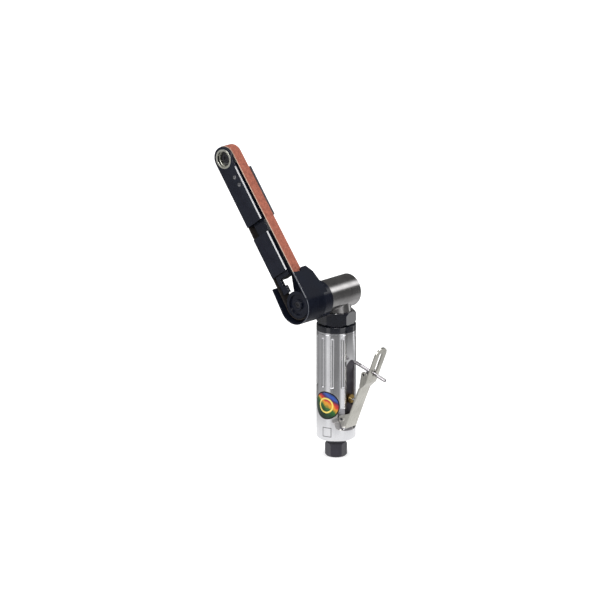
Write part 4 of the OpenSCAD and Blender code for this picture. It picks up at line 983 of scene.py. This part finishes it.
def add_camera():
    """A distant camera that sees the object at the photograph's scale and place."""
    right, up, forward = view_axes()
    centre = PHOTO_PX / 2
    aim = right * (centre - ORIGIN_PX[0]) * MM_PER_PX * MM + up * (ORIGIN_PX[1] - centre) * MM_PER_PX * MM
    lens = bpy.data.cameras.new("photo_view")
    lens.sensor_width = SENSOR_MM
    lens.lens = SENSOR_MM * CAMERA_AWAY / (PHOTO_PX * MM_PER_PX * MM)
    lens.clip_end = CAMERA_REACH
    camera = bpy.data.objects.new("photo_view", lens)
    bpy.context.scene.collection.objects.link(camera)
    turn = Matrix((right, up, -forward)).transposed().to_4x4()
    camera.matrix_world = Matrix.Translation(aim - forward * CAMERA_AWAY) @ turn
    bpy.context.scene.camera = camera


def seen_or_mirrored(tree):
    """1 for what the camera sees straight, in a mirror or through glass."""
    rays = add_node(tree, "ShaderNodeLightPath").outputs
    straight = calc(tree, "MAXIMUM", rays["Is Camera Ray"], rays["Is Glossy Ray"])
    return calc(tree, "MAXIMUM", straight, rays["Is Transmission Ray"])


def level_sheet(name, sides, radius, drop, material):
    """A round level sheet under the object."""
    start_fresh()
    bpy.ops.mesh.primitive_circle_add(vertices=sides, radius=radius, fill_type="NGON",
                                      location=(0, 0, cad_box[0][2] - drop))
    sheet = bpy.context.object
    sheet.name = name
    paint(sheet, material)
    return sheet


def add_floor():
    """A white floor that keeps the object's shadow, evened out where the lamps fall off."""
    finish = Finish("white_floor", Base_Color=FLOOR_WHITE, Roughness=FLOOR_MATT, Specular_IOR_Level=0.0,
                    Emission_Color=(1, 1, 1, 1))
    tree = finish.tree
    even = add_node(tree, "ShaderNodeMapRange", {"Value": vector_calc(tree, "LENGTH", object_place(tree)),
                                                 "From Min": FLOOR_NEAR, "From Max": FLOOR_FAR,
                                                 "To Min": FLOOR_GLOW_NEAR, "To Max": FLOOR_GLOW_FAR})
    glow = calc(tree, "MULTIPLY", seen_or_mirrored(tree), even.outputs["Result"])
    tree.links.new(glow, finish.shader.inputs["Emission Strength"])
    floor = level_sheet("floor", FLOOR_SIDES, FLOOR_R, FLOOR_DROP, finish.material)
    floor.visible_glossy = False


def add_table():
    """A white table top round the object's foot that only shows mirrored in metal, fading at its edge."""
    finish = Finish("table_glow", Base_Color=(0, 0, 0, 1), Specular_IOR_Level=0.0,
                    Emission_Color=(1, 1, 1, 1), Emission_Strength=TABLE_LEVEL)
    tree = finish.tree
    away = vector_calc(tree, "LENGTH", object_place(tree))
    tree.links.new(sharpen(tree, away, TABLE_R, TABLE_FADE_R), finish.shader.inputs["Alpha"])
    table = level_sheet("table_glow", TABLE_SIDES, TABLE_R, TABLE_DROP, finish.material)
    table.visible_camera = False
    table.visible_diffuse = False
    table.visible_transmission = False
    table.visible_shadow = False


def add_world():
    """A studio as metal sees it: pale floor, dim room, pale panels, dark ceiling; white behind the object."""
    world = bpy.data.worlds.new("studio")
    bpy.context.scene.world = world
    world.use_nodes = True
    tree = world.node_tree

    def between(mask, first, second):
        """A level between two, by a mask."""
        return add_node(tree, "ShaderNodeMix", {"Factor": mask, "A": first, "B": second}).outputs[0]

    direction = add_node(tree, "ShaderNodeTexCoord").outputs["Generated"]
    turn = add_node(tree, "ShaderNodeVectorRotate", {"Vector": direction, "Angle": -VIEW_AZIMUTH},
                    rotation_type="Z_AXIS")
    parts = add_node(tree, "ShaderNodeSeparateXYZ", {"Vector": turn.outputs[0]}).outputs
    side = calc(tree, "ARCTAN2", parts["X"], parts["Y"])
    height = parts["Z"]
    level = STUDIO_ROOM
    for centre, half, soft, shine in STUDIO_PANELS:
        level = calc(tree, "MULTIPLY_ADD", band(tree, side, centre, half, soft), shine, level)
    level = between(sharpen(tree, height, *TOP_HEIGHTS), level, STUDIO_TOP)
    level = between(sharpen(tree, height, *FLOOR_HEIGHTS), level, STUDIO_FLOOR)
    strip = calc(tree, "MULTIPLY", band(tree, side, *STRIP_BEARING), band(tree, height, *STRIP_HEIGHT))
    level = calc(tree, "MULTIPLY_ADD", strip, STRIP_LEVEL, level)
    rays = add_node(tree, "ShaderNodeLightPath").outputs
    lit = between(rays["Is Glossy Ray"], AMBIENT, level)
    shown = between(rays["Is Camera Ray"], lit, BACKGROUND)
    tree.links.new(shown, tree.nodes["Background"].inputs["Color"])


def add_softbox(name, side, height, ahead, width, tall, power):
    """A soft light placed by the photograph's view and turned to the object's middle."""
    right, _, forward = view_axes()
    level = Vector((forward.x, forward.y, 0)).normalized()
    place = right * side + level * ahead + Vector((0, 0, height))
    light = bpy.data.lights.new(name, "AREA")
    light.shape = "RECTANGLE"
    light.size = width
    light.size_y = tall
    light.energy = power
    lamp = bpy.data.objects.new(name, light)
    bpy.context.scene.collection.objects.link(lamp)
    target = Vector((0, 0, (cad_box[0][2] + cad_box[1][2]) / 2))
    turn = (target - place).to_track_quat("-Z", "Y").to_matrix().to_4x4()
    lamp.matrix_world = Matrix.Translation(place) @ turn


add_camera()
add_floor()
add_table()
add_world()
for name, placing in SOFTBOXES.items():
    add_softbox(name, *placing)
bpy.context.scene.view_settings.view_transform = "Standard"
